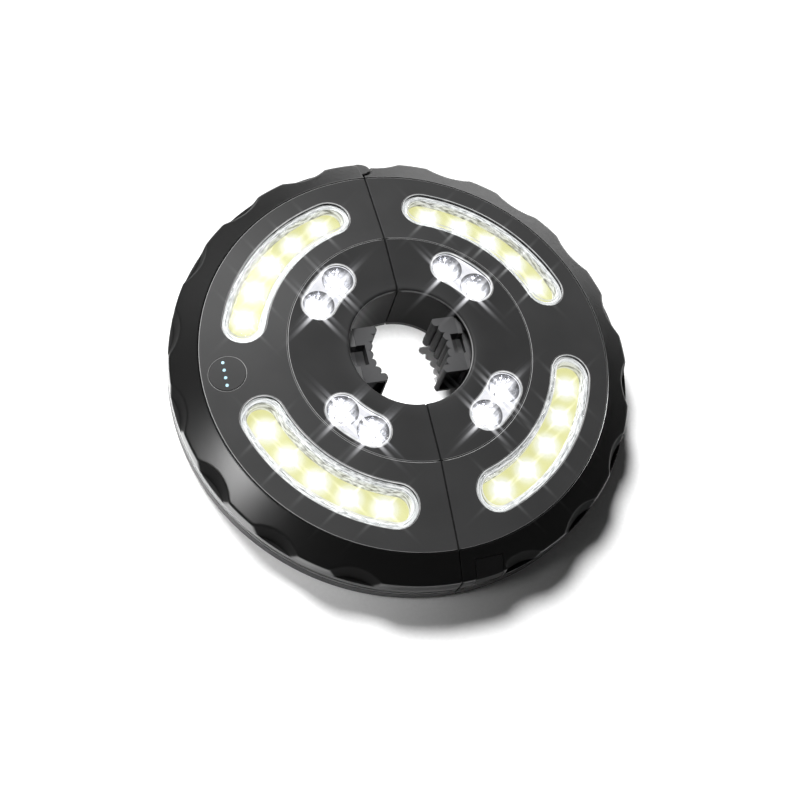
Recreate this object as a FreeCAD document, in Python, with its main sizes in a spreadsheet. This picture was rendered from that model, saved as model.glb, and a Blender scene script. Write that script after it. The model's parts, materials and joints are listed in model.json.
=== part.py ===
import FreeCAD, Part
import os
import re

import Sketcher

# A round patio umbrella light in two hinged halves that close round the pole.
# Millimetres.  +Z is the pole axis, towards the lit face; Z = 0 is the flat back.
# +Y runs along the split line to the hinge, so the left half is on -X and the
# right half on +X.  Left and right are as seen when looking at the lit face.

SIZES = [
    # housing
    ("rim_radius", 100.0),
    ("rim_draft", 0.4),
    ("shoulder_width", 12.0),
    ("ring_radius", 52.0),
    ("bore_radius", 26.3),
    ("bore_round", 1.6),
    ("disc_height", 31.5),
    ("face_drop", 6.5),
    ("shoulder_drop", 6.4),
    ("band_height", 6.2),
    ("seam_height", 8.0),
    ("seam_bevel", 0.4),
    ("back_chamfer", 3.0),
    ("back_wall", 2.0),
    ("fillet_rise", 2.0),
    ("fillet_run", 2.0),
    ("wall", 2.2),
    ("panel", 2.2),
    ("panel_bevel", 0.3),
    ("ledge", 1.8),
    ("ledge_depth", 4.5),
    ("shoulder_wall", 8.1),
    ("band_wall", 2.2),
    ("lip_height", 1.5),
    ("groove_rise", 3.0),
    ("groove_width", 0.5),
    ("groove_depth", 0.35),
    ("ring_lap", 3.0),
    ("ring_inset", 1.4),
    ("lap_depth", 4.3),
    ("line_gap", 0.3),
    ("split_gap", 0.6),
    ("split_wall", 1.6),
    ("seat_gap", 0.1),
    ("sleeve_wall", 2.2),
    # thumb scallops round the shoulder
    ("scallop_pitch", 20.0),
    ("scallop_phase", 5.0),
    ("scallop_depth", 4.5),
    ("scallop_radius", 26.8),
    ("scallop_tilt", 21.0),
    ("root_drop", 3.5),
    ("scoop_length", 70.0),
    ("scoop_spare", 1.5),
    ("flat_left", 24.0),
    ("flat_right", 19.6),
    # hinge
    ("hinge_inset", 4.8),
    ("knuckle_radius", 4.6),
    ("knuckle_relief", 1.0),
    ("knuckle_gap", 0.3),
    ("knuckle_low", 4.0),
    ("knuckle_rise", 2.8),
    ("web_reach", 8.0),
    ("web_depth", 7.0),
    ("pin_radius", 1.5),
    ("pin_play", 0.05),
    ("pin_length", 15.6),
    ("pin_start", 0.4),
    # screws that join each back cover to its rim frame
    ("boss_inset", 9.6),
    ("boss_radius", 3.4),
    ("boss_drop", 4.0),
    ("boss_near", 30.0),
    ("boss_far", 68.0),
    ("screw_radius", 1.05),
    ("screw_play", 0.05),
    ("screw_length", 10.8),
    ("hole_spare", 0.5),
    ("head_radius", 2.6),
    ("head_height", 1.0),
    ("head_sink", 0.2),
    ("recess_play", 0.3),
    ("slot_share", 0.62),
    ("slot_width", 0.7),
    ("slot_depth", 0.5),
    # arc lamps
    ("lamp_share", 0.511),
    ("lamp_half_span", 27.3),
    ("lamp_azimuth", 45.0),
    ("lens_gap", 0.2),
    ("lens_rise", 0.5),
    ("lens_skin", 1.6),
    ("lens_border", 2.0),
    ("flange_lap", 1.4),
    ("flange_thickness", 1.2),
    ("tray_inset", 1.0),
    ("tray_wall", 1.2),
    ("tray_floor", 1.0),
    ("tray_depth", 5.4),
    ("strip_thickness", 1.2),
    ("strip_gap", 0.2),
    ("led_side", 4.6),
    ("led_height", 1.4),
    ("led_pitch", 12.0),
    ("post_radius", 2.2),
    ("post_offset", 8.0),
    ("post_angle", 24.0),
    # twin spot lamps
    ("spot_inset", 9.5),
    ("spot_half_width", 7.6),
    ("spot_half_span", 10.0),
    ("spot_lens_rise", 0.4),
    ("spot_lens_thickness", 1.4),
    ("cup_radius", 7.0),
    ("cup_throat", 2.3),
    ("cup_depth", 7.0),
    ("reflector_depth", 10.0),
    ("spot_lap", 1.0),
    ("spot_flange", 1.2),
    ("spot_gap", 0.3),
    ("spot_board_thickness", 1.4),
    ("board_overhang", 0.4),
    ("board_extra_span", 3.0),
    ("dome_radius", 2.0),
    # pole jaws
    ("jaw_low", 8.5),
    ("jaw_drop", 3.5),
    ("jaw_half_width", 12.7),
    ("jaw_gap", 3.8),
    ("jaw_reach", 14.8),
    ("rib_inset", 8.3),
    ("rib_radius", 1.95),
    ("rib_pitch", 12.7),
    ("pocket_inset", 7.5),
    ("pocket_half_width", 4.6),
    ("pocket_depth", 6.0),
    ("jaw_plate", 1.6),
    ("jaw_front", 2.0),
    ("end_hollow", 3.2),
    ("carrier_thickness", 2.2),
    ("carrier_inset", 0.5),
    ("stem_reach", 15.7),
    ("stem_half_width", 7.0),
    ("stem_inset", 3.0),
    ("slide_gap", 0.2),
    ("jaw_travel", 8.0),
    ("jaw_window_gap", 0.25),
    ("guide_wall", 1.2),
    ("guide_front_gap", 0.5),
    ("guide_end_gap", 2.6),
    ("leg_half_width", 3.0),
    ("spring_radius", 1.75),
    ("spring_wire", 0.3),
    ("spring_bore", 2.4),
    ("spring_offset", 3.6),
    ("spring_inset", 3.7),
    ("spring_coils", 9.0),
    # batteries
    ("battery_radial", 30.0),
    ("battery_tangential", 50.0),
    ("battery_thickness", 9.5),
    ("battery_inset", 26.0),
    # power button, its board and its switch
    ("button_inset", 10.8),
    ("button_radius", 7.4),
    ("button_gap", 0.3),
    ("button_travel", 0.8),
    ("button_rise", 0.3),
    ("button_depth", 4.4),
    ("button_flange", 1.4),
    ("button_flange_lap", 1.2),
    ("stem_radius", 1.8),
    ("stem_length", 1.4),
    ("switch_offset", 5.0),
    ("switch_side", 6.0),
    ("switch_height", 3.0),
    ("plunger_radius", 1.5),
    ("plunger_rise", 0.8),
    ("plunger_gap", 0.2),
    ("dot_radius", 0.65),
    ("dot_play", 0.05),
    ("dot_pitch", 3.4),
    ("dot_offset", 1.0),
    ("dot_depth", 3.2),
    ("board_gap", 4.0),
    ("board_clear", 4.2),
    ("board_half_width", 10.0),
    ("board_thickness", 1.4),
    ("board_inset", 2.5),
    ("dot_led_side", 1.6),
    ("dot_led_height", 0.8),
    # charge port in the rim band
    ("port_azimuth", 131.0),
    ("port_rise", 0.9),
    ("port_tall", 4.2),
    ("port_half_length", 6.3),
    ("port_cover_thickness", 1.1),
    ("port_gap", 0.3),
    ("socket_half_width", 4.5),
    ("socket_height", 3.2),
    ("socket_depth", 7.7),
    ("socket_wall", 0.6),
    ("socket_spare", 2.0),
    ("contact_sink", 2.0),
    ("plug_half_width", 3.0),
    ("plug_height", 1.4),
    ("plug_depth", 1.9),
    # latch: local axes are X, up the shoulder, and outward through the rim edge
    ("latch_inset", 3.75),
    ("latch_drop", 6.65),
    ("latch_tilt", 47.9),
    ("latch_left", 6.2),
    ("latch_width", 11.7),
    ("latch_half_height", 5.6),
    ("latch_gap", 0.3),
    ("latch_travel", 2.0),
    ("collar_depth", 7.0),
    ("collar_wall", 1.3),
    ("latch_flange", 1.8),
    ("latch_lap", 1.1),
    ("latch_flange_gap", 0.2),
    ("tongue_clear", 1.0),
    ("tongue_thickness", 2.0),
    ("tongue_half_width", 3.5),
    ("tongue_reach", 15.5),
    ("tongue_root", 5.6),
    ("tongue_gap", 1.0),
    ("tooth_left", 8.9),
    ("tooth_width", 3.2),
    ("tooth_half_height", 1.8),
    ("tooth_spare", 0.6),
    ("tooth_gap", 0.4),
    ("foot_margin", 1.0),
    ("anchor_lap", 1.5),
    ("foot_gap", 1.6),
    ("foot_thickness", 1.8),
    ("arm_thickness", 1.8),
    ("latch_spring_place", 17.3),
    ("latch_spring_length", 7.6),
    ("latch_spring_radius", 1.3),
    ("latch_spring_coils", 5.0),
    ("seat_thickness", 1.4),
    ("seat_half_width", 1.6),
]

doc = FreeCAD.newDocument("umbrella_light")
sheet = doc.addObject("Spreadsheet::Sheet", "sizes")
for row, (alias, value) in enumerate(SIZES, start=1):
    sheet.set(f"A{row}", alias)
    sheet.set(f"B{row}", str(value))
    sheet.setAlias(f"B{row}", alias)
doc.recompute()

# Lengths that follow from the driving sizes, written once.
DERIVED = {
    "face_radius": "rim_radius - shoulder_width",
    "face_height": "disc_height - face_drop",
    "shoulder_height": "face_height - shoulder_drop",
    "scallop_floor": "seam_height + band_height",
    "cone_slope": "face_drop / (face_radius - ring_radius)",
    "scallop_root": "rim_radius - scallop_depth",
    "root_height": "face_height - root_drop",
    "rim_inner": "scallop_root - wall",
    "ledge_radius": "face_radius - ledge",
    "ledge_bottom": "face_height - ledge_depth",
    "shoulder_inner": "face_height - shoulder_wall",
    "band_inner": "scallop_floor - band_wall",
    "groove_height": "seam_height + groove_rise",
    "plate_under": "disc_height - panel",
    "lap_bottom": "disc_height - lap_depth",
    "hinge_reach": "rim_radius - hinge_inset",
    "relief_radius": "knuckle_radius + knuckle_relief",
    "knuckle_high": "seam_height + knuckle_rise",
    "boss_orbit": "rim_radius - boss_inset",
    "boss_top": "face_height - boss_drop",
    "lamp_orbit": "(face_radius + ring_radius) / 2",
    "lamp_half_width": "lamp_share * (face_radius - ring_radius) / 2",
    "tray_bottom": "face_height - tray_depth",
    "tray_half_width": "lamp_half_width - tray_inset",
    "tray_top_drop": "panel + flange_thickness + seat_gap",
    "strip_bottom": "tray_bottom + tray_floor",
    "strip_top": "strip_bottom + strip_thickness",
    "post_orbit": "lamp_orbit + post_offset",
    "spot_orbit": "ring_radius - spot_inset",
    "spot_top": "disc_height + spot_lens_rise",
    "cup_top": "spot_top - spot_lens_thickness",
    "reflector_bottom": "disc_height - reflector_depth",
    "spot_board_top": "reflector_bottom - seat_gap",
    "jaw_high": "disc_height - jaw_drop",
    "jaw_back": "bore_radius - jaw_gap",
    "jaw_tip": "bore_radius - jaw_reach",
    "jaw_middle": "(jaw_low + jaw_high) / 2",
    "rib_orbit": "bore_radius - rib_inset",
    "pocket_start": "bore_radius - pocket_inset",
    "stem_end": "bore_radius + stem_reach",
    "stem_low": "jaw_low + stem_inset",
    "stem_high": "jaw_high - stem_inset",
    "spring_start": "bore_radius + spring_inset",
    "carrier_back": "jaw_back + carrier_thickness",
    "guide_start": "carrier_back + jaw_travel + guide_front_gap",
    "guide_end": "stem_end + jaw_travel + guide_end_gap",
    "battery_orbit": "face_radius - battery_inset",
    "button_orbit": "face_radius - button_inset",
    "button_bottom": "face_height - button_depth",
    "switch_x": "switch_offset - button_orbit",
    "switch_top": "button_bottom - stem_length - button_travel - plunger_gap",
    "switch_base": "switch_top - plunger_rise - switch_height",
    "dot_x": "0 - button_orbit - dot_offset",
    "dot_low": "face_height - dot_depth",
    "board_outer": "face_radius - board_gap",
    "board_inner": "guide_end + guide_wall + board_clear",
    "port_low": "seam_height + port_rise",
    "port_high": "port_low + port_tall",
    "port_middle": "port_low + port_tall / 2",
    "port_mouth": "rim_radius - port_cover_thickness - port_gap",
    "port_roll": "port_cover_thickness / 2",
    "port_pivot": "port_half_length - port_roll",
    "latch_reach": "rim_radius - latch_inset",
    "latch_height": "face_height - latch_drop",
    "latch_right": "latch_left + latch_width",
    "latch_flange_top": "collar_depth + latch_flange_gap",
    "latch_flange_low": "latch_flange_top + latch_flange",
    "tongue_depth": "latch_flange_low + latch_travel + tongue_clear",
    "tongue_low": "tongue_depth + tongue_thickness",
    "tooth_bite": "latch_travel - tooth_spare",
    "foot_top": "tongue_low + foot_gap",
    "foot_low": "foot_top + foot_thickness",
    "foot_left": "tooth_left - foot_margin",
    "foot_right": "tooth_left + tooth_width + foot_margin",
    "arm_near": "tongue_half_width + tongue_gap",
    "arm_far": "arm_near + arm_thickness",
    "spring_seat": "latch_flange_low + latch_spring_length",
}

ALIAS = re.compile(r"\b(" + "|".join(alias for alias, _ in SIZES) + r")\b")
FOLLOWS = re.compile(r"\b(" + "|".join(DERIVED) + r")\b")

Z_AXIS = "0; 0; 1"
LATCH_PLACE = "placement(vector(0; 0 - latch_reach; latch_height); rotation(vector(1; 0; 0); latch_tilt))"

nodes = []


def bound(text):
    """The expression with each size name pointed at its cell in the sheet."""
    while FOLLOWS.search(text):
        text = FOLLOWS.sub(lambda match: f"({DERIVED[match.group(1)]})", text)
    return ALIAS.sub(r"sizes.\1", text)


def value(obj, text):
    """What an expression comes to, as a plain number."""
    return float(obj.evalExpression(bound(text)))


def cone_z(radius, drop="0"):
    """Height of the sloping face at a radius, less a drop."""
    return f"(disc_height - ({radius} - ring_radius) * cone_slope - ({drop}))"


def bind(obj, **exprs):
    """Bind properties of an object to expressions."""
    for prop, text in exprs.items():
        obj.setExpression(prop, bound(text))
    return obj


def place(obj, x="0", y="0", z="0", axis=Z_AXIS, angle="0"):
    """Bind an object's placement: a point and a turn about an axis."""
    text = f"placement(vector({x}; {y}; {z}); rotation(vector({axis}); {angle}))"
    obj.setExpression("Placement", bound(text))
    return obj


def box(x0, x1, y0, y1, z0, z1):
    """A block between two corners."""
    obj = doc.addObject("Part::Box", "block")
    bind(obj, Length=f"({x1}) - ({x0})", Width=f"({y1}) - ({y0})", Height=f"({z1}) - ({z0})")
    return place(obj, x0, y0, z0)


def cylinder(radius, z0, z1, x="0", y="0"):
    """An upright round bar."""
    obj = doc.addObject("Part::Cylinder", "bar")
    bind(obj, Radius=radius, Height=f"({z1}) - ({z0})")
    return place(obj, x, y, z0)


def fuse(*objs):
    """One solid from several that touch or overlap."""
    obj = doc.addObject("Part::MultiFuse", "joined")
    obj.Shapes = list(objs)
    obj.Refine = True
    return obj


def cut(base, *tools):
    """A solid less one or more others."""
    obj = doc.addObject("Part::Cut", "trimmed")
    obj.Base = base
    obj.Tool = tools[0] if len(tools) == 1 else group(*tools)
    obj.Refine = True
    return obj


def group(*objs):
    """Several solids kept apart, as one shape."""
    obj = doc.addObject("Part::Compound", "set")
    obj.Links = list(objs)
    return obj


def common(a, b):
    """What two solids share."""
    obj = doc.addObject("Part::MultiCommon", "shared")
    obj.Shapes = [a, b]
    obj.Refine = True
    return obj


def polygon_sketch(body, role, points):
    """A closed outline on one of the body's own planes, each corner bound to the sheet."""
    sketch = body.newObject("Sketcher::SketchObject", "outline")
    plane = [item for item in body.Origin.OriginFeatures if item.Role == role][0]
    sketch.AttachmentSupport = [(plane, "")]
    sketch.MapMode = "FlatFace"
    count = len(points)
    start = [FreeCAD.Vector(value(sketch, x), value(sketch, y), 0) for x, y in points]
    for i in range(count):
        sketch.addGeometry(Part.LineSegment(start[i], start[(i + 1) % count]), False)
    for i in range(count):
        sketch.addConstraint(Sketcher.Constraint("Coincident", i, 2, (i + 1) % count, 1))
    for i, corner in enumerate(points):
        for kind, text, at in (("DistanceX", corner[0], start[i].x), ("DistanceY", corner[1], start[i].y)):
            index = sketch.addConstraint(Sketcher.Constraint(kind, -1, 1, i, 1, at))
            name = f"{kind}_{i}"
            sketch.renameConstraint(index, name)
            sketch.setExpression(f"Constraints.{name}", bound(text))
    return sketch


def revolved(name, points):
    """A full turn about the pole axis of an outline given as (radius, height) corners."""
    body = doc.addObject("PartDesign::Body", name)
    sketch = polygon_sketch(body, "XZ_Plane", points)
    turn = body.newObject("PartDesign::Revolution", "turn")
    turn.Profile = sketch
    turn.ReferenceAxis = (sketch, ["V_Axis"])
    turn.Angle = 360
    return body


def arc_slot(orbit, half_width, half_span, z0, z1):
    """An upright solid with the plan of a slot bent round the pole axis, centred on +X."""
    height = f"({z1}) - ({z0})"
    outer = doc.addObject("Part::Cylinder", "sector")
    bind(outer, Radius=f"{orbit} + ({half_width})", Height=height, Angle=f"2 * ({half_span})")
    place(outer, z=z0, angle=f"0 - ({half_span})")
    inner = cylinder(f"{orbit} - ({half_width})", z0, z1)
    ends = [cylinder(half_width, z0, z1, f"{orbit} * cos({half_span})", f"{sign}{orbit} * sin({half_span})")
            for sign in ("", "0 - ")]
    return fuse(cut(outer, inner), *ends)


def turned(obj, angle):
    """A copy of a solid, turned about the pole axis."""
    copy = group(obj)
    return place(copy, angle=angle)


def coil(radius, wire, length, coils):
    """A coil spring standing on the origin along +Z."""
    spine = doc.addObject("Part::Helix", "spine")
    bind(spine, Radius=radius, Height=f"{length} - 2 * {wire}",
         Pitch=f"({length} - 2 * {wire}) / {coils}")
    place(spine, z=wire)
    section = doc.addObject("Part::Circle", "section")
    bind(section, Radius=wire)
    place(section, radius, "0", wire, axis="1; 0; 0", angle="90")
    sweep = doc.addObject("Part::Sweep", "coil")
    sweep.Sections = [section]
    sweep.Spine = (spine, [])
    sweep.Solid = True
    sweep.Frenet = True
    return sweep


def node(label, obj):
    """Name a finished sub-part."""
    obj.Label = label
    nodes.append(obj)
    return obj


# ---------------------------------------------------------------- housing shapes

# Past the light: how far cutting solids reach, outward, above and out through the rim.
FAR = "130"
ABOVE = "60"
OUT = "20"

LEDS = range(-2, 3)
RIBS = range(-3, 4)
SCALLOPS = range(18)
SIDES = ("left", "right")
QUADRANTS = (
    ("upper_right", "lamp_azimuth"),
    ("upper_left", "180 - lamp_azimuth"),
    ("lower_left", "180 + lamp_azimuth"),
    ("lower_right", "0 - lamp_azimuth"),
)


def sloping(top_drop, bottom_drop):
    """A ring under the sloping face, between two depths below it."""
    return revolved("slope", [
        ("ring_radius", cone_z("ring_radius", top_drop)),
        ("face_radius", cone_z("face_radius", top_drop)),
        ("face_radius", cone_z("face_radius", bottom_drop)),
        ("ring_radius", cone_z("ring_radius", bottom_drop)),
    ])


def side_box(side, near, far, y0, y1, z0, z1):
    """A block on one side of the split, between two distances from the YZ plane."""
    if side == "right":
        return box(near, far, y0, y1, z0, z1)
    return box(f"0 - ({far})", f"0 - ({near})", y0, y1, z0, z1)


def half_space(side):
    """Everything on one side of the split."""
    return side_box(side, "split_gap / 2", FAR, f"0 - {FAR}", FAR, "0 - 10", ABOVE)


def own_azimuths(side, offsets):
    """Directions on one side, given as angles away from that side's X axis."""
    middle = "0" if side == "right" else "180"
    return [f"{middle} + {sign}{offset}" for offset in offsets for sign in ("", "0 - ")]


def side_quadrants(side):
    """The directions of the two lamp quadrants on one side."""
    return [azimuth for name, azimuth in QUADRANTS if name.endswith(side)]


outline = revolved("outline", [
    ("0", "0"),
    ("rim_radius - back_chamfer", "0"),
    ("rim_radius", "back_chamfer"),
    ("rim_radius", "scallop_floor"),
    ("rim_radius - rim_draft", "shoulder_height"),
    ("face_radius", "face_height"),
    ("0", "face_height"),
])


def scallop_cutters():
    """The thumb scallops, left out where the rim stays smooth at the latch."""
    bar = doc.addObject("Part::Cylinder", "scoop")
    bind(bar, Radius="scallop_radius", Height="scoop_length")
    place(bar, "scallop_root + scallop_radius / cos(scallop_tilt) + scoop_length / 2 * sin(scallop_tilt)",
          "0", "root_height - scoop_length / 2 * cos(scallop_tilt)",
          axis="0; 1; 0", angle="0 - scallop_tilt")
    scoop = common(bar, box("face_radius", "rim_radius + scoop_spare", "0 - scallop_radius",
                            "scallop_radius", "scallop_floor", ABOVE))
    scoops = [turned(scoop, f"scallop_phase + scallop_pitch * {k}") for k in SCALLOPS]
    mask = box("0 - flat_left", "flat_right", f"0 - {FAR}", "0", "0", ABOVE)
    return cut(group(*scoops), mask)


scallops = scallop_cutters()


def hinge_bar(radius, z0, z1):
    """A round bar on the hinge axis."""
    return cylinder(radius, z0, z1, "0", "hinge_reach")


def hinge_web(side, z0, z1):
    """The web that ties a knuckle to its own half."""
    return side_box(side, "split_gap / 2", "web_reach", "hinge_reach - web_depth",
                    "hinge_reach", z0, z1)


def pin_hole():
    """The bore that the hinge pin turns in."""
    return hinge_bar("pin_radius + pin_play", "0 - 1", "pin_start + pin_length + hole_spare")


def latch_block(x0, x1, y0, y1, z0, z1):
    """A block in the latch's own axes."""
    block = group(box(x0, x1, y0, y1, z0, z1))
    block.setExpression("Placement", bound(LATCH_PLACE))
    return block


def rim_frame(side):
    """The black front frame of one half: band, shoulder, ledge, bosses and knuckle."""
    ring = revolved("rim", [
        ("rim_radius - wall", "seam_height"),
        ("rim_radius - seam_bevel", "seam_height"),
        ("rim_radius", "seam_height + seam_bevel"),
        ("rim_radius", "groove_height - groove_width"),
        ("rim_radius - groove_depth", "groove_height - groove_width / 2"),
        ("rim_radius - groove_depth", "groove_height + groove_width / 2"),
        ("rim_radius", "groove_height + groove_width"),
        ("rim_radius", "scallop_floor"),
        ("rim_radius - rim_draft", "shoulder_height"),
        ("face_radius + panel_bevel", "face_height"),
        ("face_radius", "face_height - panel_bevel"),
        ("face_radius", "face_height - panel - seat_gap"),
        ("ledge_radius", cone_z("ledge_radius", "panel + seat_gap")),
        ("ledge_radius", "ledge_bottom"),
        ("rim_inner", "shoulder_inner"),
        ("rim_inner", "band_inner"),
        ("rim_radius - wall", "seam_height + lip_height"),
    ])
    bosses = [turned(cylinder("boss_radius", "back_wall", "boss_top", "boss_orbit"), angle)
              for angle in own_azimuths(side, ("boss_near", "boss_far"))]
    holes = [turned(cylinder("screw_radius + screw_play", "0",
                             "head_sink + head_height + screw_length + hole_spare", "boss_orbit"), angle)
             for angle in own_azimuths(side, ("boss_near", "boss_far"))]
    web = hinge_web(side, "seam_height", "shoulder_inner")
    if side == "left":
        own = hinge_bar("knuckle_radius", "knuckle_high", ABOVE)
        relief = hinge_bar("relief_radius", "0", "knuckle_high")
    else:
        own = hinge_bar("knuckle_radius", "seam_height", "knuckle_high - knuckle_gap")
        relief = hinge_bar("relief_radius", "knuckle_high - knuckle_gap", ABOVE)
    parts = [common(ring, half_space(side)), web, own] + bosses
    tools = [relief, pin_hole(), scallops] + holes
    if side == "left":
        tools += [
            cylinder("button_radius + button_flange_lap + button_gap", "ledge_bottom - 1",
                     cone_z("face_radius", "panel"), "0 - button_orbit"),
            port_recess(),
        ]
    else:
        parts.append(latch_block("latch_left - latch_gap - collar_wall",
                                 "latch_right + latch_gap + collar_wall",
                                 "0 - latch_half_height - latch_gap - collar_wall",
                                 "latch_half_height + latch_gap + collar_wall",
                                 "0 - collar_depth", OUT))
        tools += [
            latch_block("latch_left - latch_gap", "latch_right + latch_gap",
                        "0 - latch_half_height - latch_gap", "latch_half_height + latch_gap",
                        "0 - tongue_depth", OUT),
            latch_block("latch_left - latch_lap - latch_gap",
                        "latch_right + latch_lap + latch_gap",
                        "0 - latch_half_height - latch_lap - latch_gap",
                        "latch_half_height + latch_lap + latch_gap",
                        "0 - tongue_depth", "0 - collar_depth"),
        ]
    solid = common(fuse(*parts), outline)
    return node(f"{side}_rim_frame", cut(solid, *tools))


def split_wall(side):
    """The wall that closes one half along the split, filling the hollow's section."""
    hollow = revolved("hollow", [
        ("bore_radius + sleeve_wall + seat_gap", "back_wall"),
        ("rim_inner - seat_gap", "back_wall"),
        ("rim_inner - seat_gap", "shoulder_inner - seat_gap"),
        ("ledge_radius - seat_gap", "ledge_bottom - seat_gap"),
        ("ledge_radius - seat_gap", cone_z("(ledge_radius - seat_gap)", "panel + seat_gap")),
        ("ring_radius + ring_lap + seat_gap",
         cone_z("(ring_radius + ring_lap + seat_gap)", "panel + seat_gap")),
        ("ring_radius + ring_lap + seat_gap", "lap_bottom - seat_gap"),
        ("ring_radius - ring_inset - seat_gap", "lap_bottom - seat_gap"),
        ("ring_radius - ring_inset - seat_gap", "plate_under - seat_gap"),
        ("bore_radius + sleeve_wall + seat_gap", "plate_under - seat_gap"),
    ])
    slab = side_box(side, "split_gap / 2", "split_gap / 2 + split_wall",
                    f"0 - {FAR}", "hinge_reach - web_depth - seat_gap", "0", ABOVE)
    if side == "left":
        slot = latch_block("0 - 2 * split_wall", "0", "0 - tongue_half_width - seat_gap",
                           "tongue_half_width + seat_gap",
                           "0 - tongue_low - seat_gap", "seat_gap - tongue_depth")
    else:
        slot = latch_block("0", "2 * split_wall", "0 - tongue_half_width - tongue_gap",
                           "tongue_half_width + tongue_gap",
                           "0 - tongue_low - tongue_gap", "tongue_gap - tongue_depth")
    return cut(common(hollow, slab), slot)


def back_cover(side):
    """The back shell of one half, with its split wall, posts, knuckle and screw seats."""
    plate = revolved("cover", [
        ("bore_radius", "0"),
        ("rim_radius - back_chamfer", "0"),
        ("rim_radius", "back_chamfer"),
        ("rim_radius", "seam_height - seam_bevel"),
        ("rim_radius - seam_bevel", "seam_height"),
        ("rim_radius - wall", "seam_height"),
        ("rim_radius - wall", "back_wall + fillet_rise"),
        ("rim_radius - wall - fillet_run", "back_wall"),
        ("bore_radius", "back_wall"),
    ])
    web = hinge_web(side, "0", "seam_height")
    if side == "left":
        own = hinge_bar("knuckle_radius", "0", "knuckle_low")
        relief = hinge_bar("relief_radius", "knuckle_low", ABOVE)
    else:
        own = hinge_bar("knuckle_radius", "knuckle_low + knuckle_gap", "seam_height")
        relief = hinge_bar("relief_radius", "0 - 1", "knuckle_low + knuckle_gap")
    posts = []
    for azimuth in side_quadrants(side):
        for sign in ("-", "+"):
            posts.append(turned(cylinder("post_radius", "back_wall - 1", "tray_bottom", "post_orbit"),
                                f"{azimuth} {sign} post_angle"))
        posts.append(turned(cylinder("post_radius", "back_wall - 1",
                                     "spot_board_top - spot_board_thickness", "spot_orbit"), azimuth))
    if side == "left":
        for x in ("board_outer - board_inset", "board_inner + board_inset"):
            for sign in ("0 - ", ""):
                posts.append(cylinder("post_radius", "back_wall - 1", "switch_base - board_thickness",
                                      f"0 - ({x})", f"{sign}(board_half_width - board_inset)"))
    seats = []
    for angle in own_azimuths(side, ("boss_near", "boss_far")):
        seat = group(
            cylinder("head_radius + recess_play", "0 - 1", "head_sink + head_height", "boss_orbit"),
            cylinder("screw_radius + screw_play", "head_sink + head_height", "seam_height", "boss_orbit"))
        seats.append(turned(seat, angle))
    half = common(plate, half_space(side))
    solid = common(fuse(half, web, own, split_wall(side), *posts), half_or_knuckle(side))
    return node(f"{side}_back_cover", cut(solid, relief, pin_hole(), *seats))


def half_or_knuckle(side):
    """All that a back cover may fill: its own side of the split, and the hinge."""
    return fuse(half_space(side), hinge_bar("knuckle_radius", "0", "seam_height"))


def bore_sleeve(side):
    """The wall of the pole hole in one half, with the window that its jaw comes through."""
    ring = revolved("sleeve", [
        ("bore_radius", "back_wall"),
        ("bore_radius + sleeve_wall", "back_wall"),
        ("bore_radius + sleeve_wall", "plate_under"),
        ("bore_radius", "plate_under"),
    ])
    window = side_box(side, "jaw_tip", FAR, "0 - jaw_half_width - jaw_window_gap",
                      "jaw_half_width + jaw_window_gap", "jaw_low - jaw_window_gap",
                      "jaw_high + jaw_window_gap")
    return node(f"{side}_bore_sleeve", cut(common(ring, half_space(side)), window))


def face_ring(side):
    """The sloping grey outer face of one half."""
    inner = "(ring_radius + line_gap / 2)"
    outer = "(face_radius - line_gap)"
    ring = revolved("face", [
        (f"{inner} + panel_bevel", cone_z(f"({inner} + panel_bevel)")),
        (f"{outer} - panel_bevel", cone_z(f"({outer} - panel_bevel)")),
        (outer, cone_z(outer, "panel_bevel")),
        (outer, cone_z(outer, "panel")),
        (inner, cone_z(inner, "panel")),
        (inner, cone_z(inner, "panel_bevel")),
    ])
    tools = [turned(arc_slot("lamp_orbit", "lamp_half_width", "lamp_half_span", "0", ABOVE), azimuth)
             for azimuth in side_quadrants(side)]
    if side == "left":
        tools.append(cylinder("button_radius + button_gap", "0", ABOVE, "0 - button_orbit"))
    return node(f"{side}_face_ring", cut(common(ring, half_space(side)), *tools))


def centre_plate(side):
    """The raised disc of one half, with a lap under the face ring and a rounded bore edge."""
    outer = "(ring_radius - line_gap / 2)"
    lap = "(ring_radius + ring_lap)"
    edge = [(f"bore_radius + bore_round * (1 - cos({t}))", f"disc_height - bore_round * (1 - sin({t}))")
            for t in (0, 22.5, 45, 67.5, 90)]
    plate = revolved("disc", edge + [
        (f"{outer} - panel_bevel", "disc_height"),
        (outer, "disc_height - panel_bevel"),
        (outer, cone_z("ring_radius", "panel + seat_gap")),
        (lap, cone_z(lap, "panel + seat_gap")),
        (lap, "lap_bottom"),
        ("ring_radius - ring_inset", "lap_bottom"),
        ("ring_radius - ring_inset", "plate_under"),
        ("bore_radius", "plate_under"),
    ])
    tools = []
    for azimuth in side_quadrants(side):
        tools.append(turned(arc_slot("spot_orbit", "spot_half_width", "spot_half_span", "0", ABOVE), azimuth))
        tools.append(turned(arc_slot("spot_orbit", "spot_half_width + spot_lap + spot_gap",
                                     "spot_half_span", "0", "plate_under"), azimuth))
        tools.append(turned(arc_slot("lamp_orbit", "lamp_half_width + flange_lap + lens_gap",
                                     "lamp_half_span", "0", ABOVE), azimuth))
    return node(f"{side}_centre_plate", cut(common(plate, half_space(side)), *tools))


# ---------------------------------------------------------------- lamps

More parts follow.
